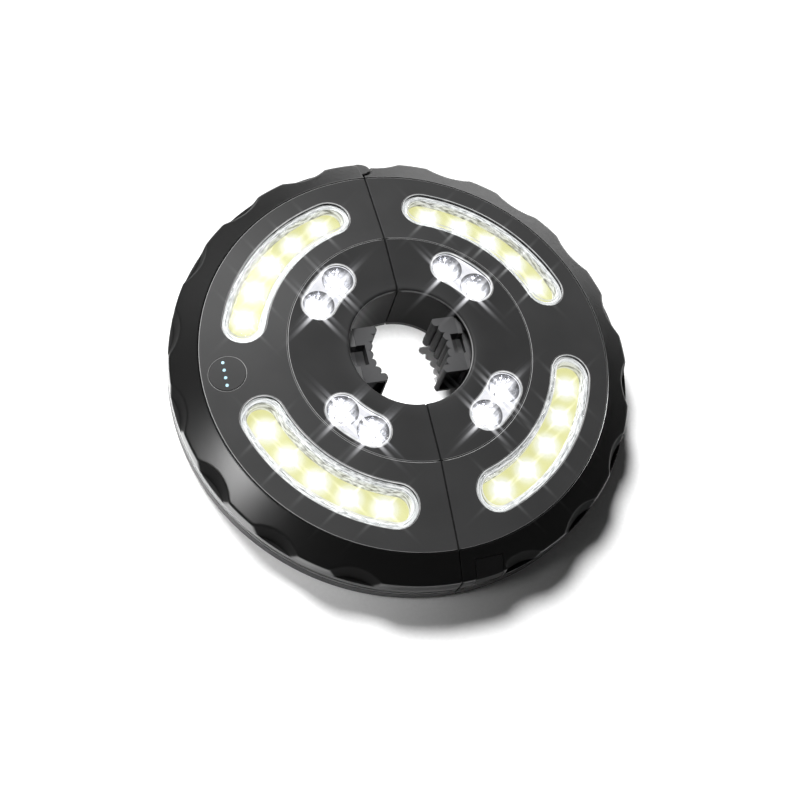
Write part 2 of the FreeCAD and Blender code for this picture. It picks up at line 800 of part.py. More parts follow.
def lamp_window(name, azimuth):
    """A clear curved window with a raised skin, a border and a flange behind the face."""
    plug = common(arc_slot("lamp_orbit", "lamp_half_width - lens_gap", "lamp_half_span", "0", ABOVE),
                  sloping("0 - lens_rise", "panel + flange_thickness"))
    flange = common(arc_slot("lamp_orbit", "lamp_half_width + flange_lap", "lamp_half_span", "0", ABOVE),
                    sloping("panel + seat_gap", "panel + flange_thickness"))
    hollow = common(arc_slot("lamp_orbit", "lamp_half_width - lens_gap - lens_border",
                             "lamp_half_span", "0", ABOVE), sloping("lens_skin - lens_rise", ABOVE))
    return node(f"{name}_lamp_window", turned(cut(fuse(plug, flange), hollow), azimuth))


def lamp_reflector(name, azimuth):
    """The white tray behind a window."""
    body = arc_slot("lamp_orbit", "tray_half_width + tray_wall", "lamp_half_span", "tray_bottom", ABOVE)
    hollow = arc_slot("lamp_orbit", "tray_half_width", "lamp_half_span", "strip_bottom", ABOVE)
    return node(f"{name}_lamp_reflector",
                turned(cut(body, hollow, sloping(f"0 - {ABOVE}", "tray_top_drop")), azimuth))


def led_strip(name, azimuth):
    """A curved board with five LEDs on it."""
    board = arc_slot("lamp_orbit", "tray_half_width - strip_gap", "lamp_half_span",
                     "strip_bottom", "strip_top")
    half = "led_side / 2"
    leds = [turned(box(f"lamp_orbit - {half}", f"lamp_orbit + {half}", f"0 - {half}", half,
                       "strip_top", "strip_top + led_height"), f"led_pitch * ({k})")
            for k in LEDS]
    return node(f"{name}_led_strip", turned(fuse(board, *leds), azimuth))


def spot_points():
    """Plan positions of a pair of spots, as (x, y) before the turn to their quadrant."""
    return [("spot_orbit * cos(spot_half_span)", f"{sign}spot_orbit * sin(spot_half_span)")
            for sign in ("", "0 - ")]


def spot_lens(name, azimuth):
    """The clear bean-shaped cover of a pair of spots."""
    return node(f"{name}_spot_lens",
                turned(arc_slot("spot_orbit", "spot_half_width - lens_gap", "spot_half_span",
                                "cup_top", "spot_top"), azimuth))


def spot_reflector(name, azimuth):
    """A block with two bright cups."""
    body = arc_slot("spot_orbit", "spot_half_width - spot_gap", "spot_half_span",
                    "reflector_bottom", "cup_top")
    flange = arc_slot("spot_orbit", "spot_half_width + spot_lap", "spot_half_span",
                      "plate_under - spot_flange", "plate_under")
    tools = []
    for x, y in spot_points():
        cup = doc.addObject("Part::Cone", "cup")
        bind(cup, Radius1="cup_throat", Radius2="cup_radius", Height="cup_depth")
        place(cup, x, y, "cup_top - cup_depth")
        tools.append(cup)
        tools.append(cylinder("cup_throat", "reflector_bottom - 1", "cup_top - cup_depth + seat_gap", x, y))
    return node(f"{name}_spot_reflector", turned(cut(fuse(body, flange), *tools), azimuth))


def spot_board(name, azimuth):
    """The board under a pair of spots, with a domed LED for each."""
    board = arc_slot("spot_orbit", "spot_half_width + board_overhang", "spot_half_span + board_extra_span",
                     "spot_board_top - spot_board_thickness", "spot_board_top")
    domes = []
    for x, y in spot_points():
        dome = doc.addObject("Part::Sphere", "dome")
        bind(dome, Radius="dome_radius")
        dome.Angle1 = 0
        domes.append(place(dome, x, y, "spot_board_top"))
    return node(f"{name}_spot_board", turned(fuse(board, *domes), azimuth))


# ---------------------------------------------------------------- pole jaws

FACING = {"right": "0", "left": "180"}


def jaw_pocket():
    """The deep notch in the top of a jaw, open at its back."""
    return box("pocket_start", "carrier_back", "0 - pocket_half_width", "pocket_half_width",
               "jaw_high - pocket_depth", ABOVE)


def jaw_pad(side):
    """The ribbed grey grip that closes on the pole, hollow at both ends between two plates."""
    block = cut(box("jaw_tip", "jaw_back", "0 - jaw_half_width", "jaw_half_width", "jaw_low", "jaw_high"),
                cylinder("rib_orbit", "0", ABOVE))
    ribs = [turned(cylinder("rib_radius", "jaw_low", "jaw_high", "rib_orbit"), f"rib_pitch * ({k})")
            for k in RIBS]
    limit = box("0", "jaw_back", "0 - jaw_half_width", "jaw_half_width", "jaw_low", "jaw_high")
    ends = (("jaw_half_width - end_hollow", "jaw_half_width"),
            ("0 - jaw_half_width", "end_hollow - jaw_half_width"))
    hollows = [box("jaw_tip + jaw_front", "jaw_back", y0, y1, "jaw_low + jaw_plate", "jaw_high - jaw_plate")
               for y0, y1 in ends]
    pad = cut(common(fuse(block, *ribs), limit), jaw_pocket(), *hollows)
    return node(f"{side}_jaw_pad", turned(pad, FACING[side]))


def jaw_slide(side):
    """The carrier behind a jaw: a plate, and a stem with two spring bores."""
    plate = box("jaw_back", "carrier_back", "0 - jaw_half_width + carrier_inset",
                "jaw_half_width - carrier_inset", "jaw_low + carrier_inset", "jaw_high - carrier_inset")
    stem = box("carrier_back", "stem_end", "0 - stem_half_width", "stem_half_width",
               "stem_low", "stem_high")
    bores = []
    for sign in ("", "0 - "):
        bore = doc.addObject("Part::Cylinder", "bore")
        bind(bore, Radius="spring_bore", Height=ABOVE)
        bores.append(place(bore, "spring_start", f"{sign}spring_offset", "jaw_middle",
                           axis="0; 1; 0", angle="90"))
    return node(f"{side}_jaw_slide", turned(cut(fuse(plate, stem), jaw_pocket(), *bores), FACING[side]))


def jaw_guide(side):
    """The fixed housing that a jaw's stem slides in."""
    low = "(stem_low - slide_gap)"
    high = "(stem_high + slide_gap)"
    half = "(stem_half_width + slide_gap)"
    outer = box("guide_start", "guide_end + guide_wall", f"0 - {half} - guide_wall",
                f"{half} + guide_wall", f"{low} - guide_wall", f"{high} + guide_wall")
    leg = box("guide_start", "guide_end + guide_wall", "0 - leg_half_width", "leg_half_width",
              "back_wall", low)
    hollow = box("guide_start - 1", "guide_end", f"0 - {half}", half, low, high)
    return node(f"{side}_jaw_guide", turned(cut(fuse(outer, leg), hollow), FACING[side]))


def jaw_springs(side):
    """The pair of springs that press a jaw towards the pole."""
    springs = []
    for sign in ("", "0 - "):
        spring = group(coil("spring_radius", "spring_wire", "(guide_end - spring_start)",
                            "spring_coils"))
        springs.append(place(spring, "spring_start", f"{sign}spring_offset", "jaw_middle",
                             axis="0; 1; 0", angle="90"))
    return node(f"{side}_jaw_springs", turned(group(*springs), FACING[side]))


# ---------------------------------------------------------------- batteries and screws

def battery_cell(side):
    """A flat cell lying on the back cover."""
    block = box("battery_orbit - battery_radial / 2", "battery_orbit + battery_radial / 2",
                "0 - battery_tangential / 2", "battery_tangential / 2",
                "back_wall", "back_wall + battery_thickness")
    angle = "0 - lamp_azimuth" if side == "right" else "180 + lamp_azimuth"
    return node(f"{side}_battery_cell", turned(block, angle))


def case_screws(side):
    """The four screws that hold one half together."""
    head = cylinder("head_radius", "head_sink", "head_sink + head_height", "boss_orbit")
    shank = cylinder("screw_radius", "head_sink + head_height / 2",
                     "head_sink + head_height + screw_length", "boss_orbit")
    reach = "(head_radius * slot_share)"
    slots = fuse(
        box(f"boss_orbit - {reach}", f"boss_orbit + {reach}", "0 - slot_width / 2", "slot_width / 2",
            "0", "head_sink + slot_depth"),
        box("boss_orbit - slot_width / 2", "boss_orbit + slot_width / 2", f"0 - {reach}", reach,
            "0", "head_sink + slot_depth"))
    screw = cut(fuse(head, shank), slots)
    return node(f"{side}_case_screws",
                group(*[turned(screw, angle) for angle in own_azimuths(side, ("boss_near", "boss_far"))]))


# ---------------------------------------------------------------- power button

DOTS = ("1.5", "0.5", "(0 - 0.5)", "(0 - 1.5)")


def power_button():
    """The round button in the left face, with a flange behind the face and a stem."""
    cap = common(cylinder("button_radius", "0", ABOVE, "0 - button_orbit"),
                 sloping("0 - button_rise", "panel + seat_gap + button_flange"))
    flange = common(cylinder("button_radius + button_flange_lap", "0", ABOVE, "0 - button_orbit"),
                    sloping("panel + seat_gap", "panel + seat_gap + button_flange"))
    stem = cylinder("stem_radius", "button_bottom - stem_length",
                    cone_z("button_orbit", "panel"), "switch_x")
    holes = [cylinder("dot_radius + dot_play", "0", ABOVE, "dot_x", f"dot_pitch * {k}") for k in DOTS]
    return node("power_button", cut(fuse(cap, flange, stem), *holes))


def indicator_light_guides():
    """Four clear pins in the button that show the charge state."""
    slice_ = sloping("0 - button_rise", ABOVE)
    pins = [common(cylinder("dot_radius", "dot_low", ABOVE, "dot_x", f"dot_pitch * {k}"), slice_)
            for k in DOTS]
    return node("indicator_light_guides", group(*pins))


def control_board():
    """The board under the button, with the four charge-state LEDs on it."""
    board = box("0 - board_outer", "0 - board_inner", "0 - board_half_width",
                "board_half_width", "switch_base - board_thickness", "switch_base")
    half = "dot_led_side / 2"
    leds = [box(f"dot_x - {half}", f"dot_x + {half}", f"dot_pitch * {k} - {half}",
                f"dot_pitch * {k} + {half}", "switch_base", "switch_base + dot_led_height")
            for k in DOTS]
    return node("control_board", fuse(board, *leds))


def power_switch():
    """The push switch on the board, right under the button's stem."""
    half = "switch_side / 2"
    body = box(f"switch_x - {half}", f"switch_x + {half}", f"0 - {half}", half,
               "switch_base", "switch_base + switch_height")
    plunger = cylinder("plunger_radius", "switch_base", "switch_top", "switch_x")
    return node("power_switch", fuse(body, plunger))


# ---------------------------------------------------------------- charge port

def port_turn(obj):
    """A solid drawn at +X, turned round to the charge port."""
    return turned(obj, "port_azimuth")


def port_recess():
    """The hole in the rim band for the socket, and the seat of its cover."""
    seat = box("port_mouth", FAR,
               "0 - port_half_length - port_gap", "port_half_length + port_gap",
               "port_low - port_gap", "port_high + port_gap")
    hole = box("port_mouth - socket_depth - socket_spare", "rim_radius",
               "0 - socket_half_width - seat_gap", "socket_half_width + seat_gap",
               "port_middle - socket_height / 2 - seat_gap",
               "port_middle + socket_height / 2 + seat_gap")
    return port_turn(fuse(seat, hole))


def charge_socket():
    """The socket behind the cover, with its contact tongue."""
    mouth = "(port_mouth - seat_gap)"
    half = "socket_height / 2"
    shell = box(f"{mouth} - socket_depth", mouth, "0 - socket_half_width", "socket_half_width",
                f"port_middle - {half}", f"port_middle + {half}")
    hollow = box(f"{mouth} - socket_depth + 2 * socket_wall", "rim_radius",
                 "socket_wall - socket_half_width", "socket_half_width - socket_wall",
                 f"port_middle - {half} + socket_wall", f"port_middle + {half} - socket_wall")
    tongue = box(f"{mouth} - socket_depth + socket_wall", f"{mouth} - plug_depth - contact_sink",
                 "0 - socket_half_width / 2", "socket_half_width / 2",
                 "port_middle - socket_wall / 2", "port_middle + socket_wall / 2")
    return node("charge_socket", port_turn(fuse(cut(shell, hollow), tongue)))


def charge_port_cover():
    """The soft flap over the socket: a round hinge roll at one end and a plug on its inner face."""
    inner = "(rim_radius - port_cover_thickness)"
    band = revolved("flap", [
        (inner, "port_low"),
        ("rim_radius", "port_low"),
        ("rim_radius", "port_high"),
        (inner, "port_high"),
    ])
    flap = common(band, box("face_radius", FAR, "0 - port_half_length", "port_pivot", "0", ABOVE))
    roll = cylinder("port_roll", "port_low", "port_high",
                    "sqrt(rim_radius ^ 2 - port_pivot ^ 2) - port_roll", "port_pivot")
    plug = box(f"{inner} - plug_depth", "rim_radius - port_roll", "0 - plug_half_width",
               "plug_half_width", "port_middle - plug_height / 2", "port_middle + plug_height / 2")
    return node("charge_port_cover", port_turn(fuse(flap, roll, plug)))


# ---------------------------------------------------------------- latch

def latch_button():
    """The release button over the rim edge, with an arm, a foot and the catching tooth."""
    cap = common(latch_block("latch_left", "latch_right", "0 - latch_half_height", "latch_half_height",
                             "0 - latch_flange_top", OUT), outline)
    flange = latch_block("latch_left - latch_lap", "latch_right + latch_lap",
                         "0 - latch_half_height - latch_lap", "latch_half_height + latch_lap",
                         "0 - latch_flange_low", "0 - latch_flange_top")
    arm = latch_block("foot_left", "foot_right", "arm_near", "arm_far", "0 - foot_low",
                      "0 - latch_flange_low")
    foot = latch_block("foot_left", "foot_right", "0 - tooth_half_height", "arm_near",
                       "0 - foot_low", "0 - foot_top")
    tooth = latch_block("tooth_left", "tooth_left + tooth_width", "0 - tooth_half_height",
                        "tooth_half_height", "0 - foot_top", "tooth_bite - tongue_low")
    return node("latch_button", fuse(cap, flange, arm, foot, tooth))


def latch_striker():
    """The tongue on the left half that the tooth catches, with its anchor."""
    tongue = latch_block("0 - tongue_root", "tongue_reach", "0 - tongue_half_width",
                         "tongue_half_width", "0 - tongue_low", "0 - tongue_depth")
    anchor = latch_block("0 - tongue_root", "0 - split_gap / 2 - split_wall - seat_gap",
                         "0 - tongue_half_width - anchor_lap", "tongue_half_width + anchor_lap",
                         "0 - tongue_low - anchor_lap", "anchor_lap - tongue_depth")
    window = latch_block("tooth_left - tooth_gap", "tooth_left + tooth_width + tooth_gap",
                         "0 - tooth_half_height - tooth_gap", "tooth_half_height + tooth_gap",
                         "0 - tongue_low - 1", "1 - tongue_depth")
    return node("latch_striker", cut(fuse(tongue, anchor), window))


def latch_spring():
    """The spring that pushes the release button out."""
    spring = group(coil("latch_spring_radius", "spring_wire", "latch_spring_length",
                        "latch_spring_coils"))
    place(spring, "latch_spring_place", "0", "0 - spring_seat")
    tilted = group(spring)
    tilted.setExpression("Placement", bound(LATCH_PLACE))
    return node("latch_spring", tilted)


def latch_bracket():
    """The small bracket on the back cover that the spring stands on."""
    near = "(latch_spring_place - seat_half_width)"
    far = "(latch_spring_place + seat_half_width)"
    seat = latch_block(near, far, "0 - seat_half_width", "seat_half_width",
                       "0 - spring_seat - seat_thickness", "0 - spring_seat")
    reach = "(spring_seat + seat_thickness / 2)"
    y = f"({reach} * sin(latch_tilt) - latch_reach)"
    z = f"(latch_height - {reach} * cos(latch_tilt))"
    post = box(near, far, f"{y} - seat_half_width / 2", f"{y} + seat_half_width / 2", "back_wall", z)
    return node("latch_bracket", fuse(seat, post))


# ---------------------------------------------------------------- the whole light

def hinge_pin():
    """The steel pin of the hinge."""
    return node("hinge_pin", hinge_bar("pin_radius", "pin_start", "pin_start + pin_length"))


for side in SIDES:
    for make in (face_ring, centre_plate, rim_frame, back_cover, bore_sleeve, jaw_pad, jaw_slide,
                 jaw_guide, jaw_springs, battery_cell, case_screws):
        make(side)
for name, azimuth in QUADRANTS:
    for make in (lamp_window, lamp_reflector, led_strip, spot_lens, spot_reflector, spot_board):
        make(name, azimuth)
for make in (hinge_pin, latch_button, latch_striker, latch_spring, latch_bracket, power_button,
             indicator_light_guides, control_board, power_switch, charge_socket, charge_port_cover):
    make()
doc.recompute()

for obj in doc.Objects:
    if "Invalid" in obj.State or "Error" in obj.State:
        raise ValueError(f"{obj.Label} ({obj.Name}) did not compute")
for obj in nodes:
    if obj.Shape.isNull() or not obj.Shape.isValid() or not obj.Shape.Solids:
        raise ValueError(f"{obj.Label} has no valid solid")

os.makedirs("parts", exist_ok=True)
for obj in nodes:
    obj.Shape.exportStep(f"parts/{obj.Label}.step")
    print(obj.Label, len(obj.Shape.Solids), round(obj.Shape.Volume, 1))
print(len(nodes), "sub-parts written")
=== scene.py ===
"""The looks of a patio umbrella light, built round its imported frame."""

import json
import math

import bmesh
import bpy
import numpy as np
from mathutils import Matrix, Vector
from mathutils.geometry import delaunay_2d_cdt


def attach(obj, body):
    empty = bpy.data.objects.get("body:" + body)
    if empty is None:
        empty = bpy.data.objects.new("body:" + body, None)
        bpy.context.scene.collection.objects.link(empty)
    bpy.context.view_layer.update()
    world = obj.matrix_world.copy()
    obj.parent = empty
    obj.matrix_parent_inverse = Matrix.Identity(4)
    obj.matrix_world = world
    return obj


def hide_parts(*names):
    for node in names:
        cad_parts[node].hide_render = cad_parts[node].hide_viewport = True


MM = 0.001

# Driving sizes of the light, in millimetres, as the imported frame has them.
RIM = 100.0             # outer radius
RIM_DRAFT = 0.4         # how far the band draws in up to the shoulder
FACE = 88.0             # radius of the lit face
RING = 52.0             # radius of the line round the centre disc
BORE = 26.3             # radius of the pole hole
BORE_ROUND = 1.6        # radius of the disc's roll into the hole
TOP = 31.5              # height of the centre disc
FACE_TOP = 25.0         # height of the face at its outer edge
SHOULDER = 18.6         # height where the band turns into the shoulder
SCALLOP_FLOOR = 14.2    # height of the thumb scallops' floor
SEAM = 8.0              # height where the rim meets the back cover
PANEL = 2.2             # thickness of the face panels
SPLIT = 0.3             # half the gap between the halves
LINE = 0.3              # width of the lines between panels
LAMP_ORBIT = 70.0       # radius of a lamp window's centre line
LAMP_HALF = 9.2         # half its width
LAMP_SPAN = 27.3        # half its length, in degrees
SPOT_ORBIT = 42.5       # the same for a pair of spots
SPOT_HALF = 7.6
SPOT_SPAN = 10.0
SPOT_TOP = TOP + 0.4
SPOT_CUP_TOP = SPOT_TOP - 1.4
LED_PITCH = 12.0        # degrees between LEDs
BUTTON_ORBIT = 77.2
BUTTON_R = 7.4
BUTTON_GAP = 0.14
LATCH_REACH = 96.25
LATCH_HEIGHT = 18.35
LATCH_TILT = math.radians(47.9)
HINGE_Y = 95.2
QUADRANTS = {"upper_right": 45, "upper_left": 135, "lower_left": 225, "lower_right": 315}

SLOPE = (TOP - FACE_TOP) / (FACE - RING)

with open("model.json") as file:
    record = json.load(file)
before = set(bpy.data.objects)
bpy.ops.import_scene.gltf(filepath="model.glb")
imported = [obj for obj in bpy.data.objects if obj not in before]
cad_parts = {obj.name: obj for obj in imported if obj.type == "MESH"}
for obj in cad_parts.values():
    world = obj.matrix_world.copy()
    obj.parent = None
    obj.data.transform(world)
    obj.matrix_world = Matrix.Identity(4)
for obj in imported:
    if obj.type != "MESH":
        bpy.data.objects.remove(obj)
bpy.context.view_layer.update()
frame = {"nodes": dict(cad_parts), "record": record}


# ---------------------------------------------------------------- materials

COLOUR_DRIFT = 0.08
WHITE = (1.0, 1.0, 1.0)


def new_material(name):
    """A node material, its node list, its links and its main shader."""
    material = bpy.data.materials.new(name)
    material.use_nodes = True
    tree = material.node_tree
    return material, tree.nodes, tree.links, tree.nodes["Principled BSDF"]


def noise(nodes, links, scale, detail=4.0, vector=None):
    """A noise texture in object coordinates."""
    if vector is None:
        vector = nodes.new("ShaderNodeTexCoord").outputs["Object"]
    texture = nodes.new("ShaderNodeTexNoise")
    texture.inputs["Scale"].default_value = scale
    texture.inputs["Detail"].default_value = detail
    links.new(vector, texture.inputs["Vector"])
    return texture.outputs["Fac"]


def ramp(nodes, links, fac, stops):
    """A colour ramp over a factor: stops are (position, value or colour)."""
    node = nodes.new("ShaderNodeValToRGB")
    while len(node.color_ramp.elements) < len(stops):
        node.color_ramp.elements.new(0.5)
    for element, (position, colour) in zip(node.color_ramp.elements, stops):
        element.position = position
        if not isinstance(colour, tuple):
            colour = (colour, colour, colour)
        element.color = (*colour, 1.0)
    links.new(fac, node.inputs["Fac"])
    return node.outputs["Color"]


def bump(nodes, links, height, strength, distance, shader):
    """Bump on a shader from a height."""
    node = nodes.new("ShaderNodeBump")
    node.inputs["Strength"].default_value = strength
    node.inputs["Distance"].default_value = distance
    links.new(height, node.inputs["Height"])
    links.new(node.outputs["Normal"], shader.inputs["Normal"])


def attribute(nodes, name):
    """A value per vertex of the piece."""
    node = nodes.new("ShaderNodeAttribute")
    node.attribute_name = name
    return node.outputs["Fac"]


def calculate(nodes, links, operation, *terms):
    """A value worked out from plain numbers and other values."""
    node = nodes.new("ShaderNodeMath")
    node.operation = operation
    for socket, term in zip(node.inputs, terms):
        if isinstance(term, float):
            socket.default_value = term
        else:
            links.new(term, socket)
    return node.outputs["Value"]


def mix_colours(nodes, links, share, first, second):
    """A colour that gives way to a second, plain one as the share rises."""
    node = nodes.new("ShaderNodeMix")
    node.data_type = "RGBA"
    links.new(share, node.inputs["Factor"])
    links.new(first, node.inputs["A"])
    node.inputs["B"].default_value = (*second, 1.0)
    return node.outputs["Result"]


def mix_shaders(nodes, links, share, first, second):
    """A shader that gives way to a second one as the share rises."""
    node = nodes.new("ShaderNodeMixShader")
    links.new(share, node.inputs["Fac"])
    links.new(first, node.inputs[1])
    links.new(second, node.inputs[2])
    return node.outputs["Shader"]


def plastic(name, colour, roughness, grain=2600.0, grain_depth=0.00002, shine=0.5, edge=None):
    """Moulded plastic: a fine spark texture, a slight drift of colour and gloss, and, if asked, a painted
    highlight that gives its rounded edges a paler grey.
    """
    material, nodes, links, shader = new_material(name)
    shader.inputs["Specular IOR Level"].default_value = shine
    fine = noise(nodes, links, grain, 3.0)
    broad = noise(nodes, links, 40.0, 3.0)
    low = tuple(c * (1 - COLOUR_DRIFT) for c in colour)
    high = tuple(c * (1 + COLOUR_DRIFT) for c in colour)
    colour = ramp(nodes, links, broad, [(0.3, low), (0.7, high)])
    # Painted highlight: the rounded edges that the piece marks are painted a paler grey.
    if edge:
        colour = mix_colours(nodes, links, attribute(nodes, "edge"), colour, (edge, edge, edge))
    links.new(colour, shader.inputs["Base Color"])
    links.new(ramp(nodes, links, broad, [(0.3, roughness * 0.88), (0.7, min(1.0, roughness * 1.1))]),
              shader.inputs["Roughness"])
    bump(nodes, links, fine, 0.35, grain_depth, shader)
    return material


def scalloped(name):
    """Glossy black rim whose scallops keep a coarse spark texture for the thumb."""
    material, nodes, links, shader = new_material(name)
    cut = attribute(nodes, "cut")
    broad = noise(nodes, links, 40.0, 3.0)
    links.new(ramp(nodes, links, broad, [(0.3, 0.0032), (0.7, 0.0038)]), shader.inputs["Base Color"])
    links.new(ramp(nodes, links, cut, [(0.0, 0.3), (1.0, 0.8)]), shader.inputs["Roughness"])
    links.new(ramp(nodes, links, cut, [(0.0, 1.0), (0.6, 0.0)]), shader.inputs["Coat Weight"])
    shader.inputs["Coat Roughness"].default_value = 0.2
    shader.inputs["Coat IOR"].default_value = 1.45
    shader.inputs["Specular IOR Level"].default_value = 0.15
    coarse = noise(nodes, links, 1500.0, 2.0)
    fine = noise(nodes, links, 3400.0, 3.0)
    grain = calculate(nodes, links, "MULTIPLY_ADD", cut, coarse, fine)
    bump(nodes, links, grain, 0.5, 0.00003, shader)
    return material


def metal(name, colour, roughness, grain=1800.0):
    """Metal with a fine drawn grain."""
    material, nodes, links, shader = new_material(name)
    coordinate = nodes.new("ShaderNodeTexCoord")
    stretch = nodes.new("ShaderNodeMapping")
    stretch.inputs["Scale"].default_value = (1.0, 1.0, 0.08)
    links.new(coordinate.outputs["Object"], stretch.inputs["Vector"])
    grain_fac = noise(nodes, links, grain, 4.0, stretch.outputs["Vector"])
    links.new(ramp(nodes, links, grain_fac, [(0.2, tuple(c * 0.8 for c in colour)), (0.8, colour)]),
              shader.inputs["Base Color"])
    links.new(ramp(nodes, links, grain_fac, [(0.2, roughness * 0.7), (0.8, roughness * 1.2)]),
              shader.inputs["Roughness"])
    shader.inputs["Metallic"].default_value = 1.0
    bump(nodes, links, grain_fac, 0.2, 0.00002, shader)
    return material


def lit_cover(name, tint):
    """Clear cover: a glossy skin, stronger at grazing angles, and beads that carry the lamp's light."""
    material, nodes, links, shader = new_material(name)
    nodes.remove(shader)
    through = nodes.new("ShaderNodeBsdfTransparent")
    through.inputs["Color"].default_value = (*tint, 1.0)
    skin = nodes.new("ShaderNodeBsdfGlossy")
    skin.inputs["Roughness"].default_value = 0.06
    bump(nodes, links, noise(nodes, links, 180.0, 2.0), 0.25, 0.0003, skin)
    weight = nodes.new("ShaderNodeLayerWeight")
    weight.inputs["Blend"].default_value = 0.5
    grazing = calculate(nodes, links, "POWER", weight.outputs["Facing"], 4.0)
    share = calculate(nodes, links, "MULTIPLY_ADD", grazing, 0.9, 0.002)
    glass = mix_shaders(nodes, links, share, through.outputs["BSDF"], skin.outputs["BSDF"])
    light = nodes.new("ShaderNodeEmission")
    uneven = noise(nodes, links, 160.0, 3.0)
    links.new(ramp(nodes, links, uneven, [(0.35, (0.6, 0.62, 0.63)), (0.62, WHITE)]), light.inputs["Color"])
    light.inputs["Strength"].default_value = 1.0
    glow = calculate(nodes, links, "MULTIPLY", attribute(nodes, "glow"), 0.85)
    surface = mix_shaders(nodes, links, glow, glass, light.outputs["Emission"])
    links.new(surface, nodes["Material Output"].inputs["Surface"])
    return material


def lit_board(name, cool, warm, strength, core):
    """A board whose phosphor glows, hotter over each LED, with a pinpoint core."""
    material, nodes, links, shader = new_material(name)
    hot = attribute(nodes, "hot")
    powder = noise(nodes, links, 900.0, 3.0)
    links.new(ramp(nodes, links, powder, [(0.3, (0.02, 0.02, 0.01)), (0.7, (0.04, 0.04, 0.02))]),
              shader.inputs["Base Color"])
    links.new(ramp(nodes, links, hot, [(0.0, cool), (0.12, warm), (0.5, WHITE)]),
              shader.inputs["Emission Color"])
    near_led = calculate(nodes, links, "POWER", hot, 3.0)
    glow = calculate(nodes, links, "MULTIPLY_ADD", near_led, strength, 0.92)
    total = calculate(nodes, links, "MULTIPLY_ADD", attribute(nodes, "core"), core, glow)
    links.new(total, shader.inputs["Emission Strength"])
    bump(nodes, links, noise(nodes, links, 1500.0, 3.0), 0.2, 0.00005, shader)
    return material


def mirror_with_painted_light(name):
    """Vacuum-plated plastic with a dark seat round each cup, and painted light: a glow on the block and
    painted reflections of the LEDs in the facets.
    """
    material = metal(name, (0.93, 0.94, 0.96), 0.12, grain=900.0)
    nodes, links = material.node_tree.nodes, material.node_tree.links
    shader = nodes["Principled BSDF"]
    bright = shader.inputs["Base Color"].links[0].from_socket
    seated = mix_colours(nodes, links, attribute(nodes, "rim"), bright, (0.05, 0.05, 0.055))
    links.new(seated, shader.inputs["Base Color"])
    # Painted light: an emission whose strength the piece gives point by point, for the block's glow and the
    # facets' reflections.
    uneven = noise(nodes, links, 420.0, 3.0)
    links.new(ramp(nodes, links, uneven, [(0.3, (0.85, 0.87, 0.9)), (0.6, WHITE)]),
              shader.inputs["Emission Color"])
    links.new(attribute(nodes, "lit"), shader.inputs["Emission Strength"])
    return material


def painted_glow_tray(name):
    """White tray wall seen through the window, with the LEDs' light on it painted in as a glow: soft grey
    streaks run along the slot.
    """
    material, nodes, links, shader = new_material(name)
    place = nodes.new("ShaderNodeCombineXYZ")
    links.new(attribute(nodes, "off"), place.inputs["X"])
    links.new(attribute(nodes, "along"), place.inputs["Y"])
    streaks = noise(nodes, links, 1.0, 4.0, place.outputs["Vector"])
    links.new(ramp(nodes, links, streaks, [(0.3, 0.12), (0.45, 0.4), (0.6, 0.62)]),
              shader.inputs["Base Color"])
    # Painted light: the tray's emission stands in for the LEDs lighting it, streaked like its colour.
    links.new(ramp(nodes, links, streaks, [(0.34, 0.08), (0.46, 0.42), (0.56, 0.8)]),
              shader.inputs["Emission Color"])
    shader.inputs["Emission Strength"].default_value = 0.5
    shader.inputs["Roughness"].default_value = 0.35
    bump(nodes, links, streaks, 0.4, 0.0002, shader)
    return material


def lit_dot(name):
    """Pale blue light guide, glowing softly."""
    material, nodes, links, shader = new_material(name)
    cloud = noise(nodes, links, 900.0, 2.0)
    links.new(ramp(nodes, links, cloud, [(0.3, (0.1, 0.2, 0.26)), (0.7, (0.2, 0.3, 0.36))]),
              shader.inputs["Base Color"])
    links.new(ramp(nodes, links, cloud, [(0.3, (0.3, 0.62, 0.75)), (0.7, (0.5, 0.75, 0.85))]),
              shader.inputs["Emission Color"])
    shader.inputs["Emission Strength"].default_value = 0.7
    bump(nodes, links, cloud, 0.2, 0.00005, shader)
    return material


